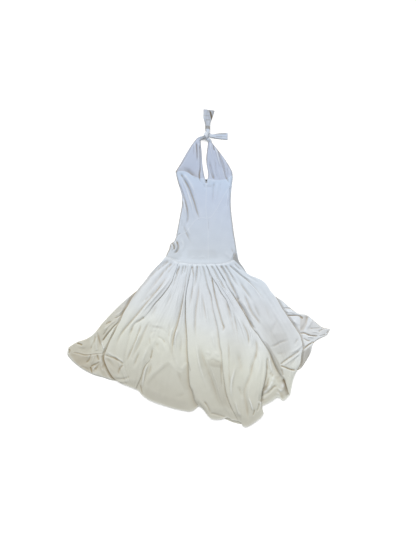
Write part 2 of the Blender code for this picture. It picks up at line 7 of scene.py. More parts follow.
import math
from collections import namedtuple

import bpy
import numpy as np
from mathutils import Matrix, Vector


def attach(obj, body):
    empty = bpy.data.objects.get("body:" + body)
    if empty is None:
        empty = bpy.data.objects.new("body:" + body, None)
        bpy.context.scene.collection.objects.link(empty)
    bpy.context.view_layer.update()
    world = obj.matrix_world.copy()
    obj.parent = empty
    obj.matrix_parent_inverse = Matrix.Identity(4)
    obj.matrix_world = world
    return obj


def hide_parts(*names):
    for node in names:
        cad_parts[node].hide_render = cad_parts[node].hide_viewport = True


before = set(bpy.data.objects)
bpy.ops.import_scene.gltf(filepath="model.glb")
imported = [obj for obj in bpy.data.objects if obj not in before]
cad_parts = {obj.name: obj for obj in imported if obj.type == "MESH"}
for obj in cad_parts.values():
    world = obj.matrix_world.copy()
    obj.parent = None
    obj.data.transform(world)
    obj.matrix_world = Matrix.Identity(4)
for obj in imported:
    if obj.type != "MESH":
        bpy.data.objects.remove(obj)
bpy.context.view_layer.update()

MM = 0.001
BACK_Z = 0.6  # middle of the back's wall
FRONT_Z = 2.1  # middle of the front's wall where the back lies under it
CELL = 3.6  # aimed width of a shell's faces

# The same seams and edges as the solids have, from the halter's tips down. Every point is (x, y),
# and a share is where an edge's first line ends and its second line starts.
TIP_LEFT = ((-24, 694), (-2, 672))
TIP_RIGHT = ((42, 666), (64, 664))
ARMHOLE_LEFT = ((-24, 694), (-50, 655), (-74, 613), (-101, 560), (-126, 510), (-145, 476))
ARMHOLE_RIGHT = ((64, 664), (99, 615), (121, 583), (145, 545), (165, 509), (181, 474))
SIDE_LEFT = ((-145, 476), (-133, 420), (-119, 372), (-106, 325), (-105, 269), (-114, 205), (-134, 80))
SIDE_RIGHT = ((181, 474), (183, 441), (177, 392))
HIP_LEFT = ((-134, 80), (-142, 57), (-163, 38), (-169, 12), (-180, -14), (-187, -33))
HIP_RIGHT = ((177, 392), (171, 325), (169, 278), (177, 160), (184, 96), (192, 43), (195, 0), (191, -16),
    (183, -33), (178, -51))
NECK_LEFT = ((-2, 672), (4, 610), (7, 560), (9, 523), (14, 486), (21, 446), (32, 404))
NECK_RIGHT = ((42, 666), (35, 606), (31, 560), (33, 523), (39, 486), (42, 450), (32, 404))
CENTRE_UPPER = ((32, 404), (31, 325), (30, 250), (35, 185))
CENTRE_LOWER = ((35, 185), (41, 130), (42, 50), (43, -76))
DIAGONAL_LEFT = ((-134, 80), (-75, 111), (-45, 152), (-16, 184), (10, 190), (35, 185))
DIAGONAL_RIGHT = ((35, 185), (52, 190), (78, 223), (104, 269), (140, 339), (177, 392))
HIP_SEAM_LEFT = ((-187, -33), (-153, -45), (-130, -61), (-97, -69), (-50, -75), (43, -76))
HIP_SEAM_RIGHT = ((43, -76), (102, -75), (143, -68), (178, -51))
BACK_TOP = ((-142, 470), (-103, 475), (-74, 466), (-42, 444), (-8, 431), (32, 427), (90, 418), (147, 426),
    (178, 448))
BACK_LEFT = ((-142, 470), (-131, 420), (-104, 325), (-103, 269), (-122, 150), (-140, 57), (-164, 12),
    (-184, -34))
BACK_RIGHT = ((178, 448), (175, 392), (167, 300), (167, 250), (175, 160), (190, 43), (199, -6), (206, -52))
BACK_SEAM = ((-184, -34), (-97, -71), (43, -78), (130, -76), (206, -52))
NECK_SHARE = 0.5
ARMHOLE_LEFT_SHARE = 0.42
ARMHOLE_RIGHT_SHARE = 0.8
LABEL_MIDDLE = (32, 419)
LABEL_ROOM = 1.4  # how much higher the front lies over the label
SKIRT_LEFT = ((-187, -33), (-216, -69), (-240, -95), (-268, -129), (-288, -159), (-313, -192), (-333, -219),
    (-347, -243), (-362, -269), (-378, -303), (-395, -335), (-410, -378), (-424, -409), (-435, -437),
    (-446, -462), (-457, -485), (-470, -522), (-479, -547), (-480, -569), (-470, -595), (-456, -622),
    (-434, -653), (-410, -674), (-390, -685))
SKIRT_RIGHT = ((178, -51), (200, -70), (221, -94), (243, -122), (265, -139), (295, -151), (328, -166),
    (348, -186), (368, -221), (393, -253), (422, -309), (446, -348), (469, -386), (493, -422), (512, -455),
    (517, -485), (520, -517), (511, -544), (506, -578), (497, -603), (482, -626))
HEM = ((-390, -685), (-359, -697), (-329, -708), (-304, -719), (-283, -740), (-258, -757), (-193, -783),
    (-134, -800), (-80, -812), (-41, -816), (-22, -807), (-3, -792), (17, -805), (41, -834), (56, -848),
    (80, -853), (109, -850), (138, -844), (158, -855), (186, -859), (201, -866), (210, -882), (224, -886),
    (244, -879), (269, -864), (298, -843), (313, -821), (302, -796), (335, -779), (365, -763), (388, -748),
    (399, -761), (411, -768), (429, -753), (443, -740), (451, -712), (463, -670), (482, -626))
GORE_LEFT_OUTER = ((-330, -216), (-375, -254), (-462, -341), (-505, -392), (-547, -447), (-579, -469),
    (-628, -486), (-667, -512))
GORE_LEFT_HEM = ((-667, -512), (-669, -546), (-649, -571), (-613, -600), (-537, -641), (-475, -659),
    (-429, -672), (-372, -674))
GORE_LEFT_INNER = ((-316, -226), (-345, -300), (-385, -400), (-418, -500), (-410, -600), (-372, -674))
GORE_RIGHT_OUTER = ((380, -240), (431, -274), (469, -309), (514, -341), (548, -346), (597, -384),
    (630, -410), (669, -419))
GORE_RIGHT_HEM = ((669, -419), (650, -449), (612, -466), (575, -495), (561, -535), (533, -579), (491, -622),
    (462, -624))
GORE_RIGHT_INNER = ((362, -246), (398, -320), (440, -400), (468, -490), (474, -560), (462, -624))
BACK_SKIRT_LEFT = ((-184, -34), (-240, -104), (-285, -160), (-316, -226))
BACK_SKIRT_RIGHT = ((206, -52), (216, -71), (228, -87), (240, -108), (251, -128), (300, -172), (362, -246))
BACK_HEM = ((-372, -674), (-290, -722), (-190, -775), (-57, -803), (0, -790), (90, -836), (225, -870),
    (300, -790), (400, -740), (462, -624))
UPPER_SHARE = 0.3
HIP_SEAM = HIP_SEAM_LEFT + HIP_SEAM_RIGHT[1:]


def table_of(kind, rows):
    """Rows with named columns: each row has a value for every column but the last, and then its points."""
    last = len(kind._fields) - 1
    return [kind(*row[:last], row[last:]) for row in rows]


# One row for each line from the hip seam to the hem. left and right are the cloth's heights beside
# it, lean is +1 or -1 where the higher side hangs over its right or left neighbour, and that step
# is there between the shares starts and ends. bulge belongs to the petal on its right.
Line = namedtuple("Line", "left right lean starts ends bulge points")
SKIRT_LINES = table_of(Line, (
    (0, 8, -1, -0.3, 1.4, 1, *SKIRT_LEFT),
    (7, 7, 0, 0, 1, 2, (-141, -63), (-162, -108), (-177, -146), (-207, -195), (-245, -245), (-282, -290),
     (-322, -342), (-361, -391), (-399, -442), (-419, -495), (-426, -534), (-413, -583), (-387, -641),
     (-359, -697)),
    (8, 4, 1, -0.3, 0.5, 2, (-120, -72), (-130, -108), (-140, -135), (-150, -168), (-165, -195),
     (-200, -245), (-238, -290), (-270, -340), (-285, -358), (-322, -389), (-344, -422), (-359, -467),
     (-369, -515), (-377, -559), (-372, -603), (-354, -655), (-334, -706)),
    (6.5, 3.5, 1, 0.66, 1.4, 2, (-95, -77), (-107, -151), (-127, -227), (-157, -306), (-191, -384),
     (-219, -455), (-237, -515), (-244, -554), (-255, -578), (-270, -593), (-284, -619), (-292, -651),
     (-303, -679), (-318, -712)),
    (1, 11.5, -1, -0.3, 0.7, 1, (-63, -80), (-64, -108), (-70, -140), (-73, -173), (-75, -205), (-80, -237),
     (-84, -269), (-89, -301), (-94, -332), (-101, -368), (-110, -404), (-120, -429), (-127, -455),
     (-132, -485), (-135, -510), (-138, -544), (-144, -593), (-157, -689), (-169, -789)),
    (1, 8.5, -1, -0.1, 1.4, 2, (-39, -80), (-52, -135), (-62, -189), (-69, -227), (-72, -259), (-72, -295),
     (-70, -373), (-66, -424), (-62, -475), (-61, -524), (-58, -564), (-54, -607), (-51, -660), (-45, -698),
     (-35, -721), (-20, -768), (-3, -792)),
    (8, 8, 0, 0, 1, 1, (-15, -80), (-17, -118), (-22, -162), (-25, -216), (-26, -295), (-26, -373),
     (-17, -465), (1, -524), (16, -573), (36, -622), (61, -679), (81, -749), (95, -800), (104, -850)),
    (3, 6, -1, 0.05, 1.4, 2, (7, -80), (17, -102), (25, -135), (33, -168), (41, -200), (51, -227),
     (60, -253), (65, -285), (70, -316), (80, -358), (88, -389), (95, -424), (100, -465), (104, -505),
     (112, -539), (114, -573), (116, -612), (120, -651), (126, -693), (132, -731), (142, -763), (158, -800),
     (173, -827), (189, -859)),
    (3, 8.3, -1, -0.3, 0.36, 2, (31, -80), (44, -105), (55, -129), (66, -151), (79, -170), (92, -189),
     (105, -216), (118, -240), (131, -259), (141, -277), (148, -301), (158, -332), (166, -363), (175, -394),
     (185, -424), (192, -465), (199, -515), (207, -578), (215, -665), (218, -745), (219, -818),
     (224, -886)),
    (8.5, 2, 1, 0.62, 1.4, 1, (66, -80), (81, -108), (97, -135), (113, -162), (129, -195), (144, -221),
     (160, -248), (177, -274), (193, -301), (210, -332), (228, -363), (247, -401), (267, -432), (287, -460),
     (306, -492), (325, -524), (336, -554), (336, -588), (330, -636), (319, -684), (305, -724), (296, -763),
     (293, -791), (302, -821)),
    (1.5, 7, -1, -0.3, 1, 1, (82, -80), (95, -102), (108, -124), (121, -146), (132, -168), (144, -195),
     (157, -216), (173, -240), (188, -264), (203, -288), (218, -314), (233, -342), (251, -373), (263, -399),
     (277, -422), (297, -445), (312, -470), (329, -495), (343, -517), (355, -539), (364, -564), (373, -588),
     (384, -612), (396, -634), (410, -653), (419, -670), (425, -693), (431, -717), (437, -745)),
    (8, 8, 0, 0, 1, 1, (154, -77), (175, -102), (217, -138), (264, -173), (305, -216), (340, -269),
     (374, -332), (412, -404), (444, -475), (456, -534), (460, -593), (461, -674)),
    (9, 0, 1, -0.3, 1.4, 0, *SKIRT_RIGHT),
))

# One row for each crease: a soft ridge along its points, a trough where height is below 0. Where
# width is a pair, it is the width on the left of its way and that on the right. opens and closes are
# the shares of its length in which it grows and fades.
Crease = namedtuple("Crease", "width height opens closes points")
BODICE_CREASES = table_of(Crease, (
    ((4.5, 4), -8.4, 0.13, 0.26, (-11, 650), (-4, 614), (-2, 574), (-2, 529), (-3, 491), (-8, 453),
     (-5, 421), (7, 390)),
    (4, 4.8, 0.13, 0.52, (-13, 660), (-12, 614), (-12, 561), (-15, 510)),
    (4.5, -4.2, 0.13, 0.39, (-27, 666), (-24, 614), (-22, 561), (-25, 516)),
    (4, 2.4, 0.26, 0.52, (-36, 666), (-33, 614), (-34, 548)),
    (4, -1.8, 0.26, 0.52, (-42, 653), (-43, 600), (-46, 548)),
    (5, -3.6, 0.26, 0.26, (-49, 646), (-69, 600), (-89, 561), (-112, 523), (-128, 491)),
    ((14, 9), -3, 0.39, 0.26, (-91, 491), (-62, 469), (-36, 440)),
    (7, -7.8, 0.39, 0.2, (47, 561), (53, 516), (59, 484), (67, 453), (78, 415)),
    (5, 3.6, 0.26, 0.52, (53, 660), (58, 620), (68, 568), (76, 529)),
    (3, -7.2, 0.13, 0.39, (70, 660), (74, 633), (80, 600)),
    ((6, 5), 5.4, 0.26, 0.39, (82, 633), (91, 600), (99, 561), (108, 523), (118, 484)),
    (5, -3.1, 0.39, 0.26, (79, 574), (85, 516), (90, 459), (100, 415)),
    (4.5, 2.6, 0.39, 0.26, (99, 504), (107, 459), (116, 415)),
    ((6, 6.5), -8.4, 0.2, 0.33, (100, 620), (110, 581), (120, 548), (128, 516), (135, 484), (143, 446),
     (157, 409), (166, 378)),
    (5, 3.1, 0.26, 0.39, (123, 594), (140, 548), (155, 504)),
    (4, 3.6, 0.39, 0.39, (124, 504), (133, 459), (144, 415)),
    (6, -4.1, 0.26, 0.39, (150, 504), (153, 465), (156, 428)),
    ((8, 7), -5.8, 0.08, 0.26, (-122, 467), (-107, 446), (-92, 419), (-75, 390), (-59, 353), (-46, 316),
     (-34, 280), (-24, 240), (-13, 202), (-6, 172), (-1, 148)),
    ((11, 15), 4.8, 0.13, 0.6, (-99, 456), (-73, 421), (-49, 378), (-29, 328), (-12, 274)),
    (7, 4.8, 0.26, 0.52, (-116, 443), (-95, 399), (-78, 356), (-63, 310), (-49, 261), (-39, 214),
     (-31, 172)),
    ((7, 6.5), -5.2, 0.16, 0.2, (-122, 403), (-109, 359), (-94, 316), (-82, 274), (-73, 231), (-70, 196),
     (-74, 160), (-80, 128)),
    (6, 3.8, 0.39, 0.39, (-112, 328), (-96, 286), (-86, 243), (-83, 196)),
    (4.5, -2.2, 0.26, 0.39, (-105, 298), (-96, 267), (-97, 231)),
    (8, -3.2, 0.26, 0.52, (-90, 166), (-87, 131), (-78, 102), (-65, 73), (-52, 41), (-43, 16)),
    ((7, 8), 2.9, 0.39, 0.52, (-72, 137), (-63, 108), (-49, 79)),
    (5, -2.4, 0.39, 0.39, (-100, 184), (-101, 154), (-102, 125)),
    (3.5, -3.6, 0.26, 0.26, (-134, 76), (-123, 90), (-107, 99)),
    (6, -1.9, 0.26, 0.39, (16, 396), (22, 378), (27, 362)),
    (7, -1.2, 0.26, 0.39, (30, 378), (50, 378), (70, 381)),
    (7, -4, 0.13, 0.52, (77, 409), (73, 359), (70, 304), (69, 243)),
    (6, -1.9, 0.26, 0.52, (113, 409), (113, 359), (117, 316)),
    (6, 2.4, 0.26, 0.52, (94, 409), (92, 347), (86, 274)),
    (3.5, -1.9, 0.39, 0.52, (42, 196), (44, 143), (43, 84)),
    ((4.5, 4), -5.4, 0.13, 0.39, (165, 384), (169, 341), (168, 292), (164, 243)),
    (4, -2.4, 0.39, 0.39, (159, 310), (155, 280), (152, 243)),
    (6, 2.4, 0.26, 0.52, (146, 384), (151, 316), (147, 225), (149, 131)),
    ((6, 8), -3.6, 0.2, 0.26, (-136, 61), (-124, 41), (-119, 19), (-127, -4), (-145, -21)),
    ((5, 4.5), 7.2, 0.26, 0.26, (-145, 59), (-133, 36), (-131, 10), (-145, -13)),
    (4, -3.4, 0.2, 0.2, (-155, 44), (-144, 27), (-141, 2)),
    (3, 4.1, 0.26, 0.26, (-157, 36), (-150, 19), (-154, -1)),
    (9, 3.6, 0.39, 0.39, (-112, 73), (-92, 33), (-105, -13)),
    (6, -1.9, 0.39, 0.39, (-158, -38), (-131, -49), (-99, -55)),
    ((8, 6), -3, 0.39, 0.26, (166, 21), (177, -7), (187, -35)),
    (10, 1.9, 0.39, 0.26, (128, -7), (155, -32), (173, -49)),
    (5, 1, 0.33, 0.33, (-56, -49), (-37, -37), (-18, -45)),
    (5, 1, 0.33, 0.33, (-15, -48), (9, -35), (36, -48)),
))
SKIRT_CREASES = table_of(Crease, (
    (5, -4.8, 0.13, 0.52, (-174, -55), (-210, -80), (-236, -105), (-262, -138), (-287, -171)),
    (6.5, -7.6, 0.07, 0.39, (-163, -55), (-197, -83), (-231, -111), (-259, -141), (-289, -181),
     (-322, -224), (-356, -272)),
    (3.2, -3, 0.07, 0.6, (-133, -75), (-156, -105), (-177, -135), (-197, -163)),
    (6, -6.4, 0.07, 0.52, (-146, -67), (-173, -94), (-196, -122), (-221, -154), (-244, -187), (-264, -214),
     (-291, -254), (-319, -291)),
    (6, -4, 0.39, 0.52, (-192, -173), (-217, -206), (-242, -232), (-273, -259), (-298, -277), (-328, -317)),
    ((5.5, 5), -5.2, 0.39, 0.26, (-130, -75), (-151, -113), (-176, -149), (-207, -195), (-245, -246),
     (-282, -291), (-321, -343), (-360, -391), (-398, -442), (-421, -490), (-432, -524)),
    ((5, 4), 7, 0.39, 0.39, (-140, -119), (-165, -163), (-201, -216), (-241, -264), (-281, -311),
     (-325, -363)),
    (5, -6.4, 0.07, 0.52, (-109, -86), (-119, -119), (-129, -152), (-136, -179), (-138, -216)),
    (4, -4.4, 0.13, 0.39, (-116, -97), (-124, -119), (-131, -141)),
    (5, -6.4, 0.07, 0.6, (-90, -86), (-95, -119), (-105, -157)),
    (4.5, -4.8, 0.07, 0.6, (-76, -83), (-81, -113), (-89, -146)),
    (8, -4.2, 0.39, 0.52, (-148, -211), (-155, -248), (-172, -296), (-187, -343)),
    ((16, 15), -6, 0.39, 0.52, (-219, -291), (-239, -337), (-258, -384)),
    (9, 5, 0.39, 0.52, (-112, -206), (-121, -269), (-135, -343), (-154, -404)),
    ((4.5, 5), -5.2, 0.2, 0.26, (-294, -379), (-303, -409), (-314, -445), (-327, -485), (-343, -524),
     (-359, -564), (-372, -593)),
    (7, -4.8, 0.2, 0.39, (-253, -374), (-270, -404), (-281, -430), (-295, -465), (-304, -490), (-318, -520),
     (-334, -549), (-348, -578)),
    ((5, 6), -4.8, 0.07, 0.39, (-284, -358), (-304, -374), (-324, -386), (-339, -402), (-348, -422),
     (-357, -445), (-364, -470)),
    (4, 6, 0.39, 0.39, (-302, -425), (-318, -475), (-338, -524)),
    (9, -1.8, 0.39, 0.39, (-251, -422), (-233, -414), (-210, -414), (-189, -419), (-168, -435)),
    (9, 1.8, 0.39, 0.39, (-246, -407), (-221, -402), (-195, -409)),
    (7, -1.4, 0.39, 0.39, (-255, -450), (-240, -436), (-215, -433)),
    ((10, 9), 2.4, 0.39, 0.39, (-239, -524), (-240, -500), (-233, -480), (-218, -469)),
    ((9, 10), 2.4, 0.39, 0.39, (-218, -469), (-203, -477), (-187, -495), (-171, -524), (-160, -554)),
    (5, -2.6, 0.26, 0.39, (-219, -457), (-198, -466), (-180, -482), (-172, -500)),
    (8, -2.4, 0.26, 0.39, (-213, -485), (-212, -510), (-201, -539)),
    (5, -2.6, 0.39, 0.39, (-250, -455), (-253, -480), (-250, -510)),
    (7, -2.6, 0.39, 0.39, (-155, -374), (-156, -414), (-159, -445), (-165, -480)),
    (6, 4.8, 0.39, 0.39, (-133, -404), (-145, -440), (-149, -485), (-146, -524)),
    (4, 5, 0.26, 0.39, (-105, -414), (-117, -455), (-122, -495), (-118, -539)),
    (8, -3.6, 0.39, 0.39, (-97, -440), (-93, -485), (-95, -524), (-90, -559)),
    ((16, 9), 2.4, 0.39, 0.26, (-259, -731), (-260, -698), (-251, -665), (-232, -641), (-208, -622),
     (-181, -598), (-160, -576)),
    ((12, 9), 1.8, 0.26, 0.6, (-160, -571), (-139, -593), (-118, -617), (-98, -650)),
    ((10, 9), 2.2, 0.39, 0.26, (-135, -534), (-125, -564), (-109, -595), (-93, -624)),
    ((9, 7), 2.4, 0.26, 0.26, (-93, -624), (-79, -607), (-59, -583)),
    (9, -2, 0.39, 0.52, (-108, -631), (-93, -669), (-82, -707)),
    (7, -1.2, 0.39, 0.39, (-125, -749), (-101, -745), (-67, -731)),
    ((4, 6), 8, 0.26, 0.39, (-255, -583), (-269, -612), (-279, -655), (-284, -707)),
    (3, -6, 0.26, 0.13, (-293, -688), (-287, -717), (-278, -745)),
    (6, -3.2, 0.39, 0.52, (-240, -583), (-248, -622), (-264, -660)),
    (6, -5, 0.39, 0.39, (-297, -524), (-316, -569), (-331, -617)),
    (7, 5, 0.39, 0.39, (-263, -500), (-276, -549), (-299, -603)),
    (5, -4, 0.39, 0.13, (-237, -510), (-241, -539), (-248, -569)),
    ((5, 9), -5.2, 0.33, 0.39, (-82, -216), (-86, -259), (-95, -301), (-104, -343), (-115, -389),
     (-125, -430), (-134, -475)),
    (5, -7.2, 0.05, 0.52, (-41, -82), (-39, -113), (-33, -146), (-35, -190), (-43, -238), (-51, -301),
     (-52, -363)),
    (5, -8.4, 0.05, 0.6, (-15, -80), (-17, -119), (-22, -157), (-28, -200), (-32, -238)),
    (7, -6.4, 0.26, 0.33, (1, -135), (-5, -179), (-9, -227), (-14, -269), (-21, -317), (-24, -374),
     (-23, -435), (-9, -500)),
    (5, -3.8, 0.39, 0.52, (10, -216), (15, -264), (23, -311), (31, -363), (39, -414)),
    (5, 4, 0.39, 0.39, (2, -206), (2, -269), (5, -332), (11, -404)),
    (5, -4.8, 0.05, 0.39, (7, -80), (17, -102), (25, -135), (33, -168), (41, -200), (51, -227), (60, -254),
     (65, -285), (70, -322)),
    (4, -9.2, 0.13, 0.13, (60, -135), (67, -179), (72, -211), (78, -243), (86, -275), (93, -306),
     (101, -337), (109, -368), (117, -394), (123, -414), (120, -427), (113, -440)),
    ((10, 13), -6, 0.26, 0.33, (3, -490), (9, -529), (19, -569), (34, -607), (51, -650), (66, -693),
     (78, -731), (88, -772), (105, -814)),
    (8, 5, 0.39, 0.39, (-20, -450), (-12, -524), (-1, -598), (22, -669), (41, -726)),
    (8, 2.4, 0.39, 0.39, (29, -544), (41, -537), (54, -554)),
    (8, 2.4, 0.39, 0.39, (74, -534), (87, -542), (99, -559)),
    ((8, 9), -2.2, 0.39, 0.26, (41, -578), (67, -571), (87, -583), (112, -579)),
    ((4.4, 4), -4, 0.26, 0.39, (109, -583), (108, -627), (111, -679), (118, -721)),
    (5, -5.2, 0.26, 0.13, (19, -765), (34, -784), (46, -804), (53, -823)),
    (4, -4, 0.13, 0.13, (46, -824), (71, -826), (100, -834), (131, -842)),
    (6, 4, 0.39, 0.39, (62, -425), (72, -485), (82, -524)),
    (5, 4, 0.39, 0.39, (26, -269), (36, -348), (49, -425)),
    (5, -8.8, 0.05, 0.39, (57, -83), (73, -108), (84, -130), (94, -152), (108, -173), (121, -198),
     (136, -219), (149, -243)),
    (4, 5, 0.26, 0.39, (73, -119), (94, -165), (115, -203), (136, -235), (156, -267), (177, -309),
     (196, -358)),
    ((7, 8), -3.4, 0.39, 0.52, (138, -269), (147, -311), (153, -353), (157, -399)),
    (5, -4.8, 0.39, 0.52, (166, -311), (176, -358), (188, -419), (197, -465)),
    (8, 6, 0.39, 0.39, (176, -327), (201, -379), (223, -435), (232, -500)),
    (5, -4.6, 0.39, 0.39, (207, -358), (226, -402), (241, -437), (247, -470), (246, -500), (238, -534)),
    (4, 4.8, 0.39, 0.39, (242, -389), (257, -430), (264, -475), (261, -524)),
    (9, -6.4, 0.1, 0.16, (279, -455), (286, -485), (288, -515), (284, -544), (272, -576), (261, -607),
     (253, -641), (242, -669), (229, -698), (223, -726), (225, -758), (229, -791), (234, -832),
     (237, -872)),
    (12, -4.8, 0.39, 0.39, (188, -524), (197, -564), (204, -603), (205, -650)),
    (6, 6, 0.39, 0.39, (182, -588), (169, -631), (158, -674), (155, -721), (164, -777)),
    ((4, 4.4), -4, 0.39, 0.39, (145, -425), (146, -500), (147, -564), (147, -631), (150, -693),
     (157, -745)),
    (9, -4.4, 0.39, 0.39, (185, -693), (201, -721), (213, -758)),
    (4.5, 6, 0.39, 0.26, (240, -745), (249, -777), (260, -814)),
    ((11, 9), 4, 0.39, 0.39, (299, -524), (303, -573), (291, -631), (274, -688)),
    (3, -5, 0.39, 0.26, (268, -800), (265, -818), (257, -836)),
    (7, 5, 0.39, 0.26, (174, -754), (183, -800), (201, -845)),
    ((5, 10), -4.8, 0.26, 0.39, (115, -254), (133, -280), (148, -317), (158, -353), (167, -394),
     (177, -435), (184, -480)),
    ((6, 7), -8.8, 0.26, 0.26, (160, -216), (180, -248), (198, -273), (213, -298), (231, -327), (246, -358),
     (259, -384), (271, -409), (287, -440)),
    (6, -12, 0.05, 0.07, (108, -82), (127, -113), (142, -141), (155, -168), (168, -195), (181, -222),
     (193, -248), (206, -275)),
    (4.5, -7.2, 0.05, 0.59, (132, -83), (148, -108), (164, -135), (179, -163), (200, -195), (223, -230)),
    (2.8, -3.8, 0.07, 0.52, (33, -83), (44, -108), (52, -135), (60, -163), (68, -195)),
    (2.8, -4, 0.07, 0.52, (84, -83), (100, -113), (118, -144), (137, -173), (152, -200)),
    (2.8, -3.4, 0.07, 0.52, (-4, -83), (0, -113), (6, -146), (10, -179)),
    (3.8, -6, 0.05, 0.6, (154, -80), (175, -102), (196, -121), (217, -140), (238, -157), (258, -175),
     (279, -199), (299, -224), (324, -254), (349, -283)),
    (7, -6, 0.39, 0.39, (180, -135), (200, -163), (216, -187), (231, -211), (249, -238), (266, -269),
     (276, -301)),
    ((6, 6.5), -6.8, 0.26, 0.26, (218, -222), (233, -251), (248, -283), (262, -317), (275, -343),
     (289, -363), (304, -386), (315, -414)),
    ((6, 7), -5, 0.39, 0.39, (271, -280), (288, -317), (303, -353), (314, -394)),
    (4.5, 5.6, 0.39, 0.39, (214, -256), (239, -304), (264, -350), (289, -389)),
    (5, 5.2, 0.39, 0.39, (227, -157), (274, -200), (309, -248), (333, -301)),
    (2.6, -4.8, 0.07, 0.39, (183, -75), (202, -97), (223, -116)),
    (2.4, 3, 0.13, 0.39, (175, -86), (196, -108), (217, -124)),
    (3.6, -4, 0.39, 0.52, (228, -133), (259, -149), (296, -173), (321, -200)),
    ((7, 10), -2.8, 0.33, 0.26, (347, -524), (361, -554), (375, -586), (391, -617), (407, -643)),
    ((5, 6), -6, 0.39, 0.39, (253, -368), (270, -399), (292, -427)),
    (10, -3.2, 0.39, 0.52, (324, -269), (343, -317), (357, -363), (365, -409)),
    (6, -3.4, 0.26, 0.52, (350, -511), (381, -502), (407, -488), (438, -478), (469, -471)),
    (9, -2, 0.39, 0.39, (399, -348), (392, -384), (376, -414), (364, -445), (360, -480)),
    (6, -3.4, 0.26, 0.52, (498, -466), (485, -487), (471, -510)),
    (7, -1.6, 0.39, 0.52, (377, -539), (405, -543), (436, -529)),
    ((6, 5), 3.6, 0.39, 0.26, (445, -544), (476, -529), (508, -505), (515, -475)),
    (4, -5.6, 0.07, 0.13, (402, -596), (423, -579), (444, -565), (470, -549), (504, -526)),
    ((3.4, 4), 3.2, 0.13, 0.13, (417, -598), (443, -581), (469, -564), (498, -542)),
    ((3.4, 3.2), -5.6, 0.07, 0.13, (403, -599), (426, -609), (451, -619), (478, -624)),
    (5.5, -2.4, 0.39, 0.26, (449, -603), (467, -582), (484, -563), (500, -549)),
    (7, 1.2, 0.39, 0.39, (442, -607), (467, -607), (488, -583)),
    (3.5, -4, 0.26, 0.26, (407, -612), (412, -631), (417, -650)),
    (4.5, 6, 0.26, 0.39, (350, -559), (351, -588), (358, -619), (370, -641)),
    (6, -4.8, 0.2, 0.39, (344, -559), (338, -583), (336, -612), (343, -631)),
    (6, -2.4, 0.26, 0.26, (348, -631), (357, -643), (367, -655)),
    (5, -4.4, 0.2, 0.2, (383, -687), (366, -703), (347, -721), (326, -736), (306, -749)),
    (5, 4.8, 0.2, 0.2, (366, -643), (363, -665), (354, -686), (333, -713), (314, -737)),
    (4, -5.2, 0.26, 0.26, (345, -650), (341, -669), (332, -693), (319, -717)),
    (6, -3.6, 0.26, 0.26, (386, -648), (394, -667), (399, -688)),
    (5, 5, 0.2, 0.2, (407, -658), (413, -677), (408, -703), (393, -726), (379, -745)),
    (5, -5.2, 0.26, 0.26, (414, -653), (421, -674), (423, -695), (428, -714), (434, -733)),
    (6, -4.4, 0.26, 0.13, (409, -714), (403, -731), (404, -749), (409, -763)),
    ((10, 8), -6.8, 0.33, 0.13, (327, -688), (319, -710), (308, -731), (299, -752), (294, -777)),
    (3.2, -3, 0.26, 0.52, (298, -775), (316, -764), (331, -756)),
    (3.2, -2.4, 0.26, 0.52, (302, -788), (320, -777), (335, -768)),
    (4, -5.2, 0.26, 0.26, (290, -772), (287, -795), (277, -818)),
    (4.4, -4.8, 0.13, 0.07, (-476, -546), (-452, -557), (-426, -565), (-411, -573), (-395, -583),
     (-378, -594)),
    ((4, 3), 2.4, 0.26, 0.13, (-469, -529), (-438, -549), (-406, -566), (-380, -583)),
    (4.4, -3.6, 0.13, 0.39, (-378, -595), (-389, -605), (-398, -616), (-403, -633), (-386, -650)),
    (5, -3, 0.26, 0.39, (-420, -660), (-395, -665), (-366, -661), (-337, -650)),
    (5, 2.8, 0.26, 0.39, (-415, -674), (-380, -679), (-341, -669)),
    (8, -5, 0.26, 0.52, (-467, -559), (-440, -593), (-417, -631)),
))
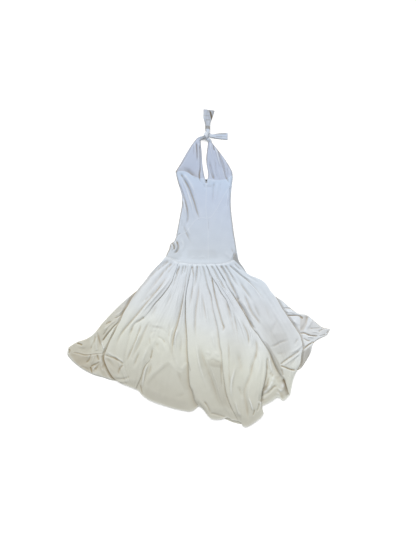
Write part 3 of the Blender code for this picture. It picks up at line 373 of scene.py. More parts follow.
GORE_CREASES = table_of(Crease, (
    (3.6, -3.6, 0.1, 0.3, (-390, -330), (-417, -354), (-449, -367)),
    (3.6, -2.9, 0.2, 0.4, (-456, -380), (-476, -389), (-491, -404)),
    ((5, 4.5), 2.9, 0.2, 0.3, (-376, -301), (-410, -332), (-445, -355)),
    (4.5, 3.1, 0.2, 0.3, (-434, -372), (-465, -399), (-497, -429)),
    (4, -3.1, 0.3, 0.3, (-467, -414), (-484, -435), (-497, -457)),
    (4, -4.8, 0.15, 0.4, (-408, -373), (-417, -385), (-430, -396)),
    ((3, 3.4), -6.6, 0.05, 0.1, (-415, -384), (-439, -403), (-458, -427), (-477, -451), (-497, -482)),
    (3.6, 4.1, 0.2, 0.2, (-431, -412), (-450, -445), (-465, -480), (-474, -505)),
    (5, -2.9, 0.15, 0.2, (-536, -437), (-534, -467), (-544, -497), (-556, -527)),
    ((4.5, 5), -3.1, 0.1, 0.5, (-524, -435), (-517, -460), (-509, -485), (-499, -510)),
    (7, 3.1, 0.2, 0.1, (-529, -460), (-525, -495), (-520, -529)),
    (3, 4.3, 0.2, 0.2, (-499, -485), (-491, -505), (-483, -522)),
    (4, -4.8, 0.15, 0.1, (-626, -490), (-612, -494), (-595, -501)),
    (7, -1.9, 0.3, 0.3, (-623, -510), (-597, -519), (-572, -515)),
    (3, -5.4, 0.2, 0.2, (-661, -518), (-657, -529), (-661, -542)),
    ((14, 3), 2.9, 0.05, 0.1, (-484, -540), (-517, -540), (-549, -544), (-579, -545), (-605, -538),
     (-631, -534), (-651, -529)),
    ((3.6, 4), -4.3, 0.05, 0.15, (-484, -543), (-516, -543), (-549, -547), (-579, -549), (-605, -542),
     (-631, -537), (-651, -532)),
    (4.5, -3.6, 0.05, 0.3, (-548, -547), (-552, -563), (-563, -580), (-575, -592)),
    (4, 2.4, 0.2, 0.3, (-533, -554), (-536, -573), (-548, -593)),
    (5, -4.1, 0.1, 0.3, (-516, -547), (-513, -562), (-503, -578)),
    (3.4, -4.3, 0.1, 0.05, (-547, -606), (-542, -622), (-536, -640)),
    (3.4, -3.6, 0.1, 0.15, (-547, -606), (-534, -598), (-515, -591), (-501, -581)),
    (4, -2.4, 0.15, 0.1, (-522, -623), (-512, -607), (-506, -590)),
    (4, 4.8, 0.2, 0.2, (-533, -624), (-529, -612), (-519, -603)),
    (2.8, -3.6, 0.2, 0.2, (-490, -543), (-482, -532), (-474, -523)),
    (2.4, -2.4, 0.2, 0.2, (-476, -527), (-471, -544)),
    (4.5, -3.1, 0.15, 0.15, (-491, -553), (-486, -569), (-477, -582)),
    (5, -2.9, 0.2, 0.3, (-477, -585), (-468, -598), (-460, -612)),
    (3.5, -2.6, 0.1, 0.3, (-470, -593), (-455, -622), (-437, -646), (-416, -666), (-395, -681)),
    (5, -2.4, 0.3, 0.3, (-600, -603), (-574, -611), (-548, -624)),
    (5, 2.9, 0.3, 0.4, (-493, -588), (-489, -612), (-477, -636)),
    ((3.4, 3), -4.3, 0.1, 0.15, (432, -315), (458, -312), (476, -318), (491, -330)),
    (4, 2.9, 0.2, 0.2, (436, -330), (467, -332), (492, -340)),
    ((3.6, 3.2), -6.6, 0.1, 0.1, (440, -350), (466, -351), (492, -350), (512, -352), (532, -366)),
    (3.4, -4.2, 0.2, 0.2, (512, -352), (522, -358), (534, -367)),
    (6, -3.6, 0.2, 0.3, (403, -267), (417, -293), (431, -317)),
    (8, 2.4, 0.3, 0.3, (470, -379), (495, -389), (514, -404)),
    ((11, 8), -4.1, 0.1, 0.2, (557, -351), (550, -373), (538, -399), (524, -419), (513, -435)),
    (6, 3.1, 0.2, 0.3, (578, -373), (564, -396), (547, -419)),
    ((4.5, 4), -6, 0.1, 0.3, (512, -442), (533, -440), (553, -448), (568, -452)),
    (2.8, -4.8, 0.2, 0.15, (547, -449), (573, -453), (603, -456)),
    (3, 3.6, 0.2, 0.3, (547, -459), (562, -460), (582, -463)),
    (3.4, -2.4, 0.2, 0.2, (560, -417), (591, -416), (622, -414)),
    (3, -3.6, 0.2, 0.1, (619, -412), (642, -414), (663, -416)),
    (3, -4.8, 0.1, 0.2, (664, -417), (658, -429), (648, -443)),
    (4, -3.1, 0.2, 0.2, (605, -436), (623, -424), (642, -417)),
    (3, -4.1, 0.2, 0.2, (645, -445), (624, -453), (606, -455)),
    (4, 2.4, 0.3, 0.3, (569, -432), (594, -435), (614, -442)),
    (4, -3.6, 0.1, 0.3, (528, -466), (546, -477), (568, -481)),
    ((3.2, 3), -4.8, 0.2, 0.2, (565, -485), (581, -487), (599, -483)),
    (5, -4.8, 0.15, 0.15, (513, -452), (514, -475), (519, -500), (523, -518)),
    (3.6, -7.2, 0.05, 0.1, (519, -523), (533, -514), (549, -501), (572, -488)),
    (4, 2.4, 0.2, 0.2, (531, -482), (531, -500), (539, -492)),
    (5, -5.4, 0.1, 0.2, (514, -532), (509, -559), (503, -583), (497, -605)),
))

# One row for each patch of painted shade, where folds, rolls and overlapping cloth shadow the cloth:
# how soft its edge is, its share of the full tone, and its outline.
Patch = namedtuple("Patch", "soft tone points")
LEFT_STRIP = ((-269, -96), (-418, -285), (-538, -424), (-507, -500), (-437, -399), (-317, -216))
SHADE_PATCHES = table_of(Patch, (
    (8, 0.12, (33, 392), (70, 392), (70, 371), (33, 371)),
    (40, 0.14, (319, -399), (464, -384), (509, -500), (450, -646), (419, -763), (351, -631)),
    (8, 0.75, (522, -534), (565, -500), (551, -554), (501, -622)),
    (3, 0.8, (49, 881), (59, 873), (68, 835), (61, 809), (57, 835), (52, 862)),
    (4, 0.15, (59, 890), (87, 890), (74, 855), (67, 835)),
    (11, 0.5, (21, 770), (56, 770), (56, 746), (21, 746)),
    (5, 0.15, (11, 848), (47, 848), (47, 839), (11, 839)),
    (5, 0.25, (29, 817), (53, 817), (53, 809), (29, 809)),
    (4, 0.2, (3, 710), (12, 710), (24, 679), (12, 682)),
    (4, 0.2, (61, 696), (83, 697), (83, 674), (71, 677)),
    (4, 0.3, (62, 729), (148, 727), (151, 716), (65, 716)),
    (6, 0.2, (89, 706), (124, 706), (124, 697), (89, 697)),
    (2.5, 0.85, (195, -7), (210, -63), (225, -83), (252, -129), (243, -124), (220, -95), (199, -72),
     (177, -52), (184, -31)),
    (9, 0.5, (327, -480), (349, -527), (363, -564), (376, -603), (395, -636), (416, -658), (410, -622),
     (391, -578), (369, -539), (344, -495)),
    (3, 1, (416, -657), (427, -689), (441, -739), (430, -734), (418, -709), (413, -679)),
    (6, 0.25, (394, -660), (413, -684), (430, -735), (410, -749), (401, -717)),
    (5, 0.62, (321, -693), (334, -698), (329, -719), (313, -747), (307, -774), (292, -774), (302, -747),
     (313, -717)),
    (10, 0.3, (336, -573), (342, -607), (334, -651), (318, -707), (307, -740), (306, -707), (318, -651)),
    (6, 0.3, (373, -689), (362, -707), (337, -733), (327, -735), (342, -714), (361, -693)),
    (40, 0.3, (-4, -534), (36, -583), (112, -583), (116, -646), (130, -726), (154, -800), (95, -786),
     (66, -726), (31, -660), (1, -603)),
    (7, 0.07, (-162, -586), (-139, -603), (-118, -624), (-93, -636), (-61, -603), (-53, -660), (-35, -721),
     (-7, -791), (-41, -814), (-134, -800), (-243, -759), (-268, -740), (-256, -693), (-237, -660),
     (-203, -629)),
    (5, 0.13, (-266, -684), (-247, -653), (-213, -624), (-184, -595), (-160, -581), (-144, -590),
     (-156, -605), (-184, -617), (-213, -646), (-241, -679), (-260, -698)),
    (8, 0.13, (-116, -624), (-93, -636), (-61, -603), (-53, -660), (-50, -707), (-72, -721), (-92, -689),
     (-105, -655)),
    (3, 0.45, (-59, -583), (-54, -581), (-44, -622), (-48, -629)),
    (3, 0.4, (-40, -707), (-35, -707), (-20, -749), (-26, -756)),
    (5, 0.1, (-257, -396), (-221, -404), (-185, -417), (-164, -432), (-166, -440), (-189, -426),
     (-221, -414), (-257, -409)),
    (9, 0.1, (-258, -384), (-277, -409), (-301, -460), (-324, -510), (-342, -559), (-331, -564),
     (-308, -515), (-285, -465), (-261, -424), (-247, -394)),
    (7, 0.14, (-178, -465), (-162, -500), (-146, -539), (-130, -573), (-120, -569), (-136, -529),
     (-152, -495), (-168, -460)),
    (7, 0.16, (-87, -269), (-99, -332), (-113, -384), (-130, -440), (-136, -500), (-124, -500),
     (-117, -450), (-103, -399), (-88, -348), (-79, -280)),
    (8, 0.09, (-232, -248), (-282, -301), (-341, -373), (-399, -445), (-407, -437), (-352, -366),
     (-293, -293), (-242, -240)),
    (8, 0.15, (-179, -58), (-216, -88), (-247, -116), (-275, -151), (-308, -195), (-352, -253),
     (-341, -261), (-299, -208), (-266, -165), (-236, -127), (-205, -96), (-171, -66)),
    (6, 0.15, (-217, -63), (-253, -96), (-289, -140), (-324, -192), (-313, -200), (-278, -151),
     (-242, -108), (-206, -72)),
    (5, 0.18, (8, 897), (84, 897), (71, 855), (62, 807), (44, 766), (27, 766), (20, 828)),
    (9, 0.2, (-97, 503), (-62, 493), (-33, 458), (-19, 433), (-36, 430), (-62, 458), (-96, 481)),
    (10, 0.18, *LEFT_STRIP),
    (20, 0.14, (358, -450), (436, -440), (457, -515), (419, -564), (365, -524)),
    (20, 0.12, (-67, 4), (79, 4), (95, -41), (-2, -52), (-72, -41)),
    (10, 0.24, (36, -573), (67, -566), (112, -583), (106, -612), (51, -603)),
    (50, 0.14, (134, -424), (185, -424), (219, -500), (216, -631), (161, -670), (147, -573)),
    (50, 0.12, (272, -269), (354, -295), (412, -399), (456, -534), (413, -583), (346, -500), (289, -384)),
    (20, 0.2, (-166, 73), (-133, 61), (-99, -30), (-152, -63), (-196, -41)),
))
# The same for painted shade that is warmer, on faces that show warmer in the photo.
WARM_SHADE_PATCHES = table_of(Patch, (
    (8, 0.3, (518, -348), (562, -350), (551, -394), (528, -434), (511, -429), (516, -389)),
    (20, 0.2, (-678, -519), (-620, -485), (-562, -455), (-545, -534), (-483, -549), (-470, -603),
     (-537, -641), (-610, -603)),
    (12, 0.16, (-656, -542), (-555, -544), (-569, -588), (-539, -617), (-537, -641), (-610, -603)),
    (8, 0.12, (-541, -460), (-516, -445), (-492, -529), (-537, -537)),
    (8, 0.2, (-503, -622), (-479, -588), (-448, -627), (-406, -667), (-476, -655)),
    (8, 0.14, (-473, -559), (-432, -559), (-380, -598), (-402, -646), (-443, -627), (-476, -583)),
    (10, 0.15, (383, -698), (394, -726), (345, -759), (305, -782), (311, -763), (346, -735)),
    (10, 0.13, (543, -440), (562, -384), (584, -368), (669, -409), (656, -440), (583, -460)),
    (9, 0.1, (183, -253), (199, -256), (224, -298), (244, -332), (259, -363), (273, -396), (292, -434),
     (287, -450), (257, -404), (238, -358), (213, -311), (193, -280)),
    (10, 0.18, *LEFT_STRIP),
))

# Relief of the bodice.
FINER_ACROSS = 1.5  # how many columns and rows of faces take the place of one
FINER_DOWN = 1.3
PUFF = 6.0  # height of the front's cloth over its own form, and how far inside a free edge it is full
PUFF_WIDTH = 14.0
BODICE_UNEVEN = 0.5  # its unevenness, and the width and length of the waves in it
BODICE_WAVES = (60, 110)
NEAR_EDGES = (1.2, 2.6, 4.5)  # more columns and rows lie this far from a panel's edges
EDGE_WIDTH = 5.0  # how far inside a free edge all of its relief is there, and the share at the edge
EDGE_SHARE = 0.1
HIP_REACH = 9.0  # the same at the hip seam
HIP_SHARE = 0.75
DROP_START = 2.0  # how far inside the back's top edge the front starts to come down, and in what width
DROP_WIDTH = 8.0
LABEL_REACH = 14.0  # how far from the label's middle the front starts to come down, and in what width
LABEL_FADE = 16.0
SEAM_RISE = 0.4  # ridge along the centre and diagonal seams
SEAM_WIDTH = 1.8

# Relief of the skirt.
SKIRT_LENGTH = 800.0
SKIRT_ROWS = 232  # rows of points below its gathers, and in them
GATHER_ROWS = 8
GATHER_SHARE = 0.06  # share of the length that the gathers take
LEAST_COLUMNS = 10  # least columns of a petal, and those where its edge curves down
CURVE_COLUMNS = 8
EVEN_SHARE = 0.6  # share of the skirt's length at which its columns are evenly spaced
LOFT = 5.0  # height of the gathered cloth, in which its troughs have room
DEEPEST = 12.0  # depth that the troughs come near and never pass
STEP = 0.13  # share of a petal in which its edge curves down
STEP_FADE = 0.2  # share of the skirt's length in which a step grows or fades
LEAN = 0.25  # how far a petal's edge leans over the next petal, as a share of its height
PETAL_SCALE = 1.42  # the petals' heights as built, as a share of those in the lines' table
LEAST_PETAL = 5.0  # least height of a petal beside a line where its step has faded
AT_SEAM = 0.5  # share of the height that is left at the hip seam
SEAM_FADE = 0.3  # shares of the length in which petals, creases and all of the cloth rise from the seam
CREASE_FADE = 0.02
SEAM_ROUND = 0.014
SEAM_HOLD = 0.12  # share in which the plan leaves the seam's own line
OFF_HEM = 0.45  # share of the height that goes towards the hem, where that starts and its length
OFF_HEM_START = 0.8
OFF_HEM_FADE = 0.2
OFF_END = 0.55  # the same at the hem itself
OFF_END_START = 0.93
OFF_END_FADE = 0.07
SIDE_ROUND = 4.0  # width in which the cloth rises from the skirt's sides, and the share at the side
SIDE_SHARE = 0.03
SIDE_LEAN = 7.0  # width beside them in which petals' edges begin to lean
STREAK = 0.7  # height of fine streaks down the cloth, their number across and down, and their start
STREAK_COUNT = (34, 2.2)
STREAK_FADE = 0.15
SOFTER = 0.35  # height of softer unevenness, and the width and length of its waves
SOFTER_WAVES = (45, 70)
ASIDE = 0.004  # share of the skirt's width in which its way across is measured
GORE_HEIGHT = 6.5  # height of a gore's cloth beside the front, and its unevenness
GORE_UNEVEN = 1.6
GORE_WAVES = (70, 70)
GORE_START = 3.0  # how far from the front's edge its height starts, and in what width it grows
GORE_FADE = 14.0
GORE_ROUND = 8.0  # width in which it rises from its free edges, and the share at the edge
GORE_SHARE = 0.05
GORE_COLUMNS = 130
GORE_ROWS = 165

# Tones that the finish reads, dark above 0 and light below 0, and how far they reach. The darks are
# painted shade; the lights are seams and hems of double cloth.
RIM_SHADE = 0.35
RIM_WIDTH = 3.0
HEM_TONE = -0.4
HEM_WIDTH = 5.0
SEAM_TONE = -0.35
SEAM_SINGLE = -0.3
HIP_TONE = -0.35
HIP_WIDTH = 7.0
GATHER_TONE = -0.3  # along the top edge of the front skirt, and its width as a share of the length
GATHER_WIDTH = 0.008
BACK_EDGE_SHADE = 0.28  # painted shade above the back's top edge, where one layer lies and the front sags down past it
BACK_FADE = 30.0
FOOT_SHADE = 0.05  # painted warm shade for each millimetre of step, where a petal's edge shadows the next petal
FOOT_WIDTH = 7.0
FOOT_FADE = 0.06  # share of the skirt's length in which it starts below the seam
FLAP_SHADOW = 0.5  # painted shadow on a gore, beside the front's edge that lies over it
FLAP_WIDTH = 9.0
NEAR = 6.0  # reach of the two averages that a point is set against, and the second one's share
FARTHER = 20.0
FARTHER_SHARE = 0.5
TROUGH = 11.5  # how far below these a point gets full painted shade, and how far above them full painted highlight
RIDGE = 12.0
DEEPEN = 0.95
SHADE_TOP = 900.0  # where the base colours start, how far down they go, and how much they slant
SHADE_SPAN = 1700.0
SHADE_SLANT = 0.3

# The finish of the cloth. Its base colours are painted light down and across the white dress: a bluish
# tint of cool light at the neck, brighter in the middle, creamy and darker at the hem and more so on the
# left.
PAINTED_LIGHT_RAMP = (
    (0.00, (0.450, 0.538, 0.679, 1)),
    (0.26, (0.454, 0.550, 0.692, 1)),
    (0.34, (0.458, 0.525, 0.647, 1)),
    (0.52, (0.487, 0.538, 0.602, 1)),
    (0.565, (0.554, 0.613, 0.677, 1)),
    (0.665, (0.588, 0.621, 0.658, 1)),
    (0.757, (0.608, 0.638, 0.646, 1)),
    (0.794, (0.608, 0.629, 0.600, 1)),
    (0.853, (0.583, 0.596, 0.533, 1)),
    (0.912, (0.517, 0.521, 0.458, 1)),
    (1.00, (0.458, 0.450, 0.383, 1)),
)
# Floor, the tint where one layer lies, grey and warm painted shade, painted highlight that also shows the
# lighter double cloth of seams and hems, and thread.
PALE = (0.92, 0.92, 0.92, 1)
SINGLE = (0.90, 0.855, 0.86, 1)
SHADE_GREY = (0.53, 0.485, 0.43, 1)
WARM_SHADE = (0.55, 0.42, 0.26, 1)
LIGHT = (0.73, 0.76, 0.78, 1)
THREAD = (0.45, 0.45, 0.46, 1)
LIGHTEN = 0.6
TRANSLUCENT = 0.15
BROAD_SCALE = 0.012  # soft unevenness of the colour
BROAD_TONE = 0.10
GRAIN_SCALE = 0.25  # grain of the crepe
GRAIN_DEPTH = 0.5
WARP_PITCH = 1.1
WEFT_PITCH = 0.9
WEFT_SHARE = 0.6
WEAVE_DEPTH = 0.06
STITCH_INSET = 6.0
STITCH_WIDTH = 1.0
STITCH_PACE = 2.1  # radians of its wave in a millimetre, and the wave's height where a stitch starts
STITCH_START = -0.35
STITCH_DEPTH = 0.5
STITCH_TONE = 0.25

# One row for each section along a tie: the x, y and z of its middle, its width and its depth.
TIE_LEFT = (
    (-13, 683, 2, 27, 3.2), (-6, 689.5, 4.6, 22, 5), (15, 693, 11.8, 14, 11), (33, 706, 12.8, 14, 13),
    (40, 726, 12.4, 18, 12), (39, 748, 9, 28, 8), (39, 774, 6, 28, 7), (39, 804, 4.6, 37, 6),
    (40, 829, 3.6, 52, 5), (44, 857, 2.8, 60, 4.2), (48, 885, 2, 68, 3.2),
)
TIE_RIGHT_START = ((53, 665, 1.9, 20, 3.2), (53.5, 670.5, 3, 20, 4), (47, 678, 7, 19, 5))
TIE_RIGHT_END = (
    (66, 706, 3.6, 22, 5), (92, 706, 3, 32, 4.4), (120, 706, 2.4, 40, 3.8), (157, 705, 2, 46, 3.4),
)
TIE_CORNERS = 56
TIE_FULLNESS = 2.6  # 2 is an ellipse, and more is fuller at the corners
TIE_LOWEST = 0.2  # no point of a tie lies lower
TIE_SINGLE = 0.3  # tones of a tie, then the painted highlight on its pleats' tops and the painted shade in their troughs
TIE_LIGHT = 0.12
PLEAT_HIGHLIGHT = 0.4
PLEAT_SHADE = 0.3
PLEAT_UNEVEN = 0.10  # depths of uneven and of even pleats, as shares of the tie's own
PLEAT_WAVE = 0.07
PLEAT_LENGTH = 90.0  # length of the uneven ones, and how close they lie
PLEAT_PACE = 1.6
WAVE_LENGTH = 60.0  # the same for the even ones
WAVE_PACE = 7.0
PLEAT_DEEPEN = 1.6  # how much more the pleats show in the tie's depth
PLEAT_TOP = 0.5  # and on its upper face, for each millimetre of its width up to the widest
PLEAT_WIDEST = 9.0
# The right tie's turn round the left one, between its start and its end.
KNOT_MIDDLE = Vector((33, 706, 12.8))
KNOT_AXIS = Vector((0.62, 0.78, 0)).normalized()
KNOT_RADIUS = 10.2
KNOT_DEPTH = 5.0
KNOT_WIDTH = 23.0
KNOT_SPREAD = 1.5
KNOT_PITCH = 27.0
KNOT_TURN = 270.0
KNOT_STEPS = 10
KNOT_LIGHT = 26.0  # how far the painted light round the knot reaches, in place of the shade the ties cast there
UP = Vector((0, 0, 1))

# Floor, light and camera, in metres and degrees, with the lens and its sensor in millimetres.
FLOOR_SIZE = 16
FLOOR_Z = -0.0002
WORLD_LIGHT = 0.3
WINDOW_LIGHT = 3.7
WINDOW_SOFT = 80
WINDOW_TILT = -30
WINDOW_TURN = 8
CAMERA_PLACE = (0.04138, -0.559246, 1.86)
CAMERA_TILT = 14
CAMERA_LENS = 24
CAMERA_SENSOR = 36


def travelled(points, axis=0):
    """The way from the start of a line to each of its points, for one line or those along a grid's axis."""
    steps = np.linalg.norm(np.diff(points, axis=axis), axis=-1)
    start = np.zeros_like(np.take(steps, [0], axis))
    return np.concatenate([start, np.cumsum(steps, axis=axis)], axis)


def through(knots, values, at):
    """A smooth line through the values at the knots, read at each place in at."""
    knots, values, at = (np.asarray(x, float) for x in (knots, values, at))
    slopes = np.gradient(values, knots, axis=0)
    i = np.clip(np.searchsorted(knots, at, side="right") - 1, 0, len(knots) - 2)
    step = (knots[i + 1] - knots[i])[:, None]
    s = (at - knots[i])[:, None] / step
    start = values[i] * (1 + 2 * s) * (1 - s) ** 2 + slopes[i] * step * s * (1 - s) ** 2
    end = values[i + 1] * (3 - 2 * s) * s**2 - slopes[i + 1] * step * s**2 * (1 - s)
    return start + end


def edge(points, share):
    """Points at these shares of the length of a smooth line through some points."""
    points = np.array(points, float)
    if len(points) == 2:
        return points[0] + (points[1] - points[0]) * np.asarray(share, float)[:, None]
    along = travelled(points)
    return through(along / along[-1], points, share)


def joined(first, second, change):
    """An edge of two smooth lines that meet in a corner at the share change."""
    def at(share):
        share = np.asarray(share, float)
        upper = edge(first, np.minimum(share / change, 1))
        lower = edge(second, np.maximum((share - change) / (1 - change), 0))
        return np.where((share <= change)[:, None], upper, lower)
    return at


def smooth(points):
    """An edge that is one smooth line."""
    return lambda share: edge(points, share)


def ease(x):
    """0 below 0, 1 above 1, and a smooth rise between."""
    x = np.clip(x, 0, 1)
    return x * x * (3 - 2 * x)


def rounded(t):
    """0 to 1 as a quarter circle: steep where t is 0 and level where t is 1."""
    t = np.clip(t, 0, 1)
    return np.sqrt(np.maximum(0, 1 - (1 - t) ** 2))


def bell(x):
    """1 where x is 0, and smoothly less to both sides."""
    return np.exp(-(x**2))


def uneven(a, b, seed, waves=18):
    """An even mix of waves with no regular pattern, about -1 to 1, at the places a and b."""
    pick = np.random.default_rng(seed)
    total = np.zeros(len(a))
    for _ in range(waves):
        way = pick.uniform(0, math.tau)
        pace = math.tau * pick.uniform(0.5, 1.6)
        total += np.sin(pace * (a * math.cos(way) + b * math.sin(way)) + pick.uniform(0, math.tau))
    return total / math.sqrt(waves)


def rough(plan, size, seed):
    """The uneven mix over a plan, with waves of this width and length."""
    return uneven(plan[:, 0] / size[0], plan[:, 1] / size[1], seed)


def patch(left, right, top, bottom, u, v):
    """Points of a flat panel between four edges, at the shares u across and v down."""
    sides = left(v) * (1 - u[:, None]) + right(v) * u[:, None]
    ends = top(u) * (1 - v[:, None]) + bottom(u) * v[:, None]
    tips = np.array([0.0, 1.0])
    corners = (left(tips)[0], right(tips)[0], left(tips)[1], right(tips)[1])
    weights = ((1 - u) * (1 - v), u * (1 - v), (1 - u) * v, u * v)
    return sides + ends - sum(w[:, None] * c for w, c in zip(weights, corners))


def nearest(plan, line):
    """The distance from each point of a plan to the nearest point of a line."""
    far = np.full(len(plan), np.inf)
    for x, y in line:
        far = np.minimum(far, np.hypot(plan[:, 0] - x, plan[:, 1] - y))
    return far


def to_segments(plan, starts, runs):
    """From each point of a plan to each segment: the share of the nearest place on it, and the gap."""
    offset = plan[:, None, :] - starts
    share = np.clip((offset * runs).sum(2) / (runs * runs).sum(1), 0, 1)
    return share, offset - share[..., None] * runs


def creased(plan, creases):
    """The height of all the creases together at each point of a plan."""
    height = np.zeros(len(plan))
    for crease in creases:
        line = edge(crease.points, np.linspace(0, 1, 5 * len(crease.points) + 2))
        left_width, right_width = np.broadcast_to(crease.width, 2)
        reach = 3 * max(left_width, right_width)
        low, high = line.min(0) - reach, line.max(0) + reach
        near = np.flatnonzero(((plan > low) & (plan < high)).all(1))
        if len(near) == 0:
            continue
        runs = np.diff(line, axis=0)
        share, gap = to_segments(plan[near], line[:-1], runs)
        far = np.linalg.norm(gap, axis=2)
        k, best = np.arange(len(near)), far.argmin(1)
        right = np.column_stack([runs[best, 1], -runs[best, 0]])
        width = np.where((gap[k, best] * right).sum(1) > 0, right_width, left_width)
        at = (best + share[k, best]) / len(runs)
        fade = ease(at / crease.opens) * ease((1 - at) / crease.closes)
        height[near] += crease.height * fade * bell(far[k, best] / width)
    return height


def inside(plan, outline):
    """How far each point lies inside an outline, in millimetres, below 0 outside it."""
    ring = np.array(outline, float)
    following = np.roll(ring, -1, axis=0)
    runs = following - ring
    far = np.linalg.norm(to_segments(plan, ring, runs)[1], axis=2).min(1)
    beside = (ring[:, 1] > plan[:, 1:2]) != (following[:, 1] > plan[:, 1:2])
    slope = runs[:, 0] / np.where(runs[:, 1] == 0, 1e-9, runs[:, 1])
    crossing = beside & (plan[:, :1] < slope * (plan[:, 1:2] - ring[:, 1]) + ring[:, 0])
    return far * np.where(crossing.sum(1) % 2 == 1, 1, -1)


def patches(plan, table):
    """The share of a tone that a table's patches give at each point of a plan."""
    return sum(row.tone * ease(inside(plan, row.points) / row.soft + 0.5) for row in table)


def averaged(values, along, reach):
    """Each row's values averaged over a reach to either side, at these places along the row."""
    out = np.empty_like(values)
    for k, (row, at) in enumerate(zip(values, along)):
        total = np.concatenate([[0], np.cumsum((row[1:] + row[:-1]) / 2 * np.diff(at))])
        low, high = np.maximum(at - reach, at[0]), np.minimum(at + reach, at[-1])
        out[k] = (np.interp(high, at, total) - np.interp(low, at, total)) / np.maximum(high - low, 1e-6)
    return out


def above_around(height, across, down):
    """How far each point of a grid stands above the cloth around it, below 0 in a trough."""
    above = np.zeros_like(height)
    for reach, share in ((NEAR, 1.0), (FARTHER, FARTHER_SHARE)):
        level = averaged(averaged(height, across, reach), across, reach)
        level_down = averaged(averaged(height.T, down.T, reach), down.T, reach).T
        above += share * (2 * height - level - level_down)
    return above


def rim_shade(rim):
    """Painted shade along a free edge, where the cloth curves down to the floor."""
    return RIM_SHADE * bell(rim / RIM_WIDTH)


def at_hem(hem):
    """The light line along a hem, where the cloth is double."""
    return HEM_TONE * bell(hem / HEM_WIDTH)


def light_tint(points):
    """The share along the base colours at each point: painted light, cool at the neck and warm at the hem.
    """
    return np.clip((SHADE_TOP - points[:, 1] - SHADE_SLANT * points[:, 0]) / SHADE_SPAN, 0, 1)


def preset(node, values):
    """A node with these values in its named sockets."""
    for label, value in values.items():
        node.inputs[label].default_value = value
    return node


def new_finish(name, values):
    """A new material with these values on its shader: the material, its nodes, its links and the shader."""
    made = bpy.data.materials.new(name)
    made.use_nodes = True
    nodes = made.node_tree.nodes
    return made, nodes, made.node_tree.links, preset(nodes["Principled BSDF"], values)


def cloth_finish():
    """White crepe: a fine weave, soft unevenness, rows of stitches beside its edges and a light sheen, over
    colours of painted light, shade and highlight.
    """
    looks = {"Roughness": 0.82, "Sheen Weight": 0.12, "Sheen Roughness": 0.45, "Specular IOR Level": 0.25}
    made, nodes, links, shader = new_finish("cloth_finish", looks)

    def put(value, socket):
        if isinstance(value, bpy.types.NodeSocket):
            links.new(value, socket)
        else:
            socket.default_value = value

    def attribute(label, output="Fac"):
        node = nodes.new("ShaderNodeAttribute")
        node.attribute_name = label
        return node.outputs[output]

    def maths(kind, *values):
        node = nodes.new("ShaderNodeMath")
        node.operation = kind
        for value, socket in zip(values, node.inputs):
            put(value, socket)
        return node.outputs[0]

    def mixed(share, a, b, kind="MIX"):
        node = nodes.new("ShaderNodeMix")
        node.data_type = "RGBA"
        node.blend_type = kind
        for value, k in ((share, 0), (a, 6), (b, 7)):
            put(value, node.inputs[k])
        return node.outputs[2]

    def noise(scale, detail):
        node = preset(nodes.new("ShaderNodeTexNoise"), {"Scale": scale, "Detail": detail})
        links.new(place, node.inputs["Vector"])
        return node.outputs["Fac"]

    # Base colours of painted light: a cool tint at the neck, warmer and darker towards the hem and the left.
    ramp = nodes.new("ShaderNodeValToRGB")
    links.new(attribute("light_tint"), ramp.inputs[0])
    stops = ramp.color_ramp.elements
    for stop, (position, colour) in zip(stops, (PAINTED_LIGHT_RAMP[0], PAINTED_LIGHT_RAMP[-1])):
        stop.position, stop.color = position, colour
    for position, colour in PAINTED_LIGHT_RAMP[1:-1]:
        stops.new(position).color = colour
    place = attribute("cut", "Vector")
    tone = mixed(maths("MULTIPLY", noise(BROAD_SCALE, 3), BROAD_TONE), ramp.outputs["Color"], PALE)
    # Multiplied in: the tint where one layer lies, painted grey shade from the patches and painted warm
    # shade of troughs, edges and overlaps.
    for label, colour in (("single", SINGLE), ("grey_shade", SHADE_GREY), ("warm_shade", WARM_SHADE)):
        tone = mixed(attribute(label), tone, colour, "MULTIPLY")
    # Mixed in: painted highlight on ridges and pleat tops, and the lighter double cloth of seams and hems.
    tone = mixed(maths("MULTIPLY", attribute("light"), LIGHTEN), tone, LIGHT)

    split = nodes.new("ShaderNodeSeparateXYZ")
    links.new(place, split.inputs[0])
    x, y = split.outputs[0], split.outputs[1]
    warp = maths("SINE", maths("MULTIPLY", x, math.tau / WARP_PITCH))
    weft = maths("SINE", maths("MULTIPLY", y, math.tau / WEFT_PITCH))
    weave = maths("ADD", warp, maths("MULTIPLY", weft, WEFT_SHARE))
    from_row = maths("ABSOLUTE", maths("SUBTRACT", attribute("rim"), STITCH_INSET))
    wave = maths("SINE", maths("MULTIPLY", maths("ADD", x, y), STITCH_PACE))
    on_row = maths("LESS_THAN", from_row, STITCH_WIDTH / 2)
    stitch = maths("MULTIPLY", on_row, maths("GREATER_THAN", wave, STITCH_START))
    grain = maths("MULTIPLY", noise(GRAIN_SCALE, 4), GRAIN_DEPTH)
    relief = maths("ADD", maths("MULTIPLY", weave, WEAVE_DEPTH), grain)
    relief = maths("SUBTRACT", relief, maths("MULTIPLY", stitch, STITCH_DEPTH))
    bump = preset(nodes.new("ShaderNodeBump"), {"Strength": 0.35, "Distance": 0.0006})
    links.new(relief, bump.inputs["Height"])
    links.new(bump.outputs["Normal"], shader.inputs["Normal"])
    links.new(mixed(maths("MULTIPLY", stitch, STITCH_TONE), tone, THREAD), shader.inputs["Base Color"])

    through_cloth = nodes.new("ShaderNodeBsdfTranslucent")
    links.new(tone, through_cloth.inputs["Color"])
    mix = nodes.new("ShaderNodeMixShader")
    for value, socket in zip((TRANSLUCENT, shader.outputs[0], through_cloth.outputs[0]), mix.inputs):
        put(value, socket)
    links.new(mix.outputs[0], nodes["Material Output"].inputs["Surface"])
    return made


CLOTH = cloth_finish()


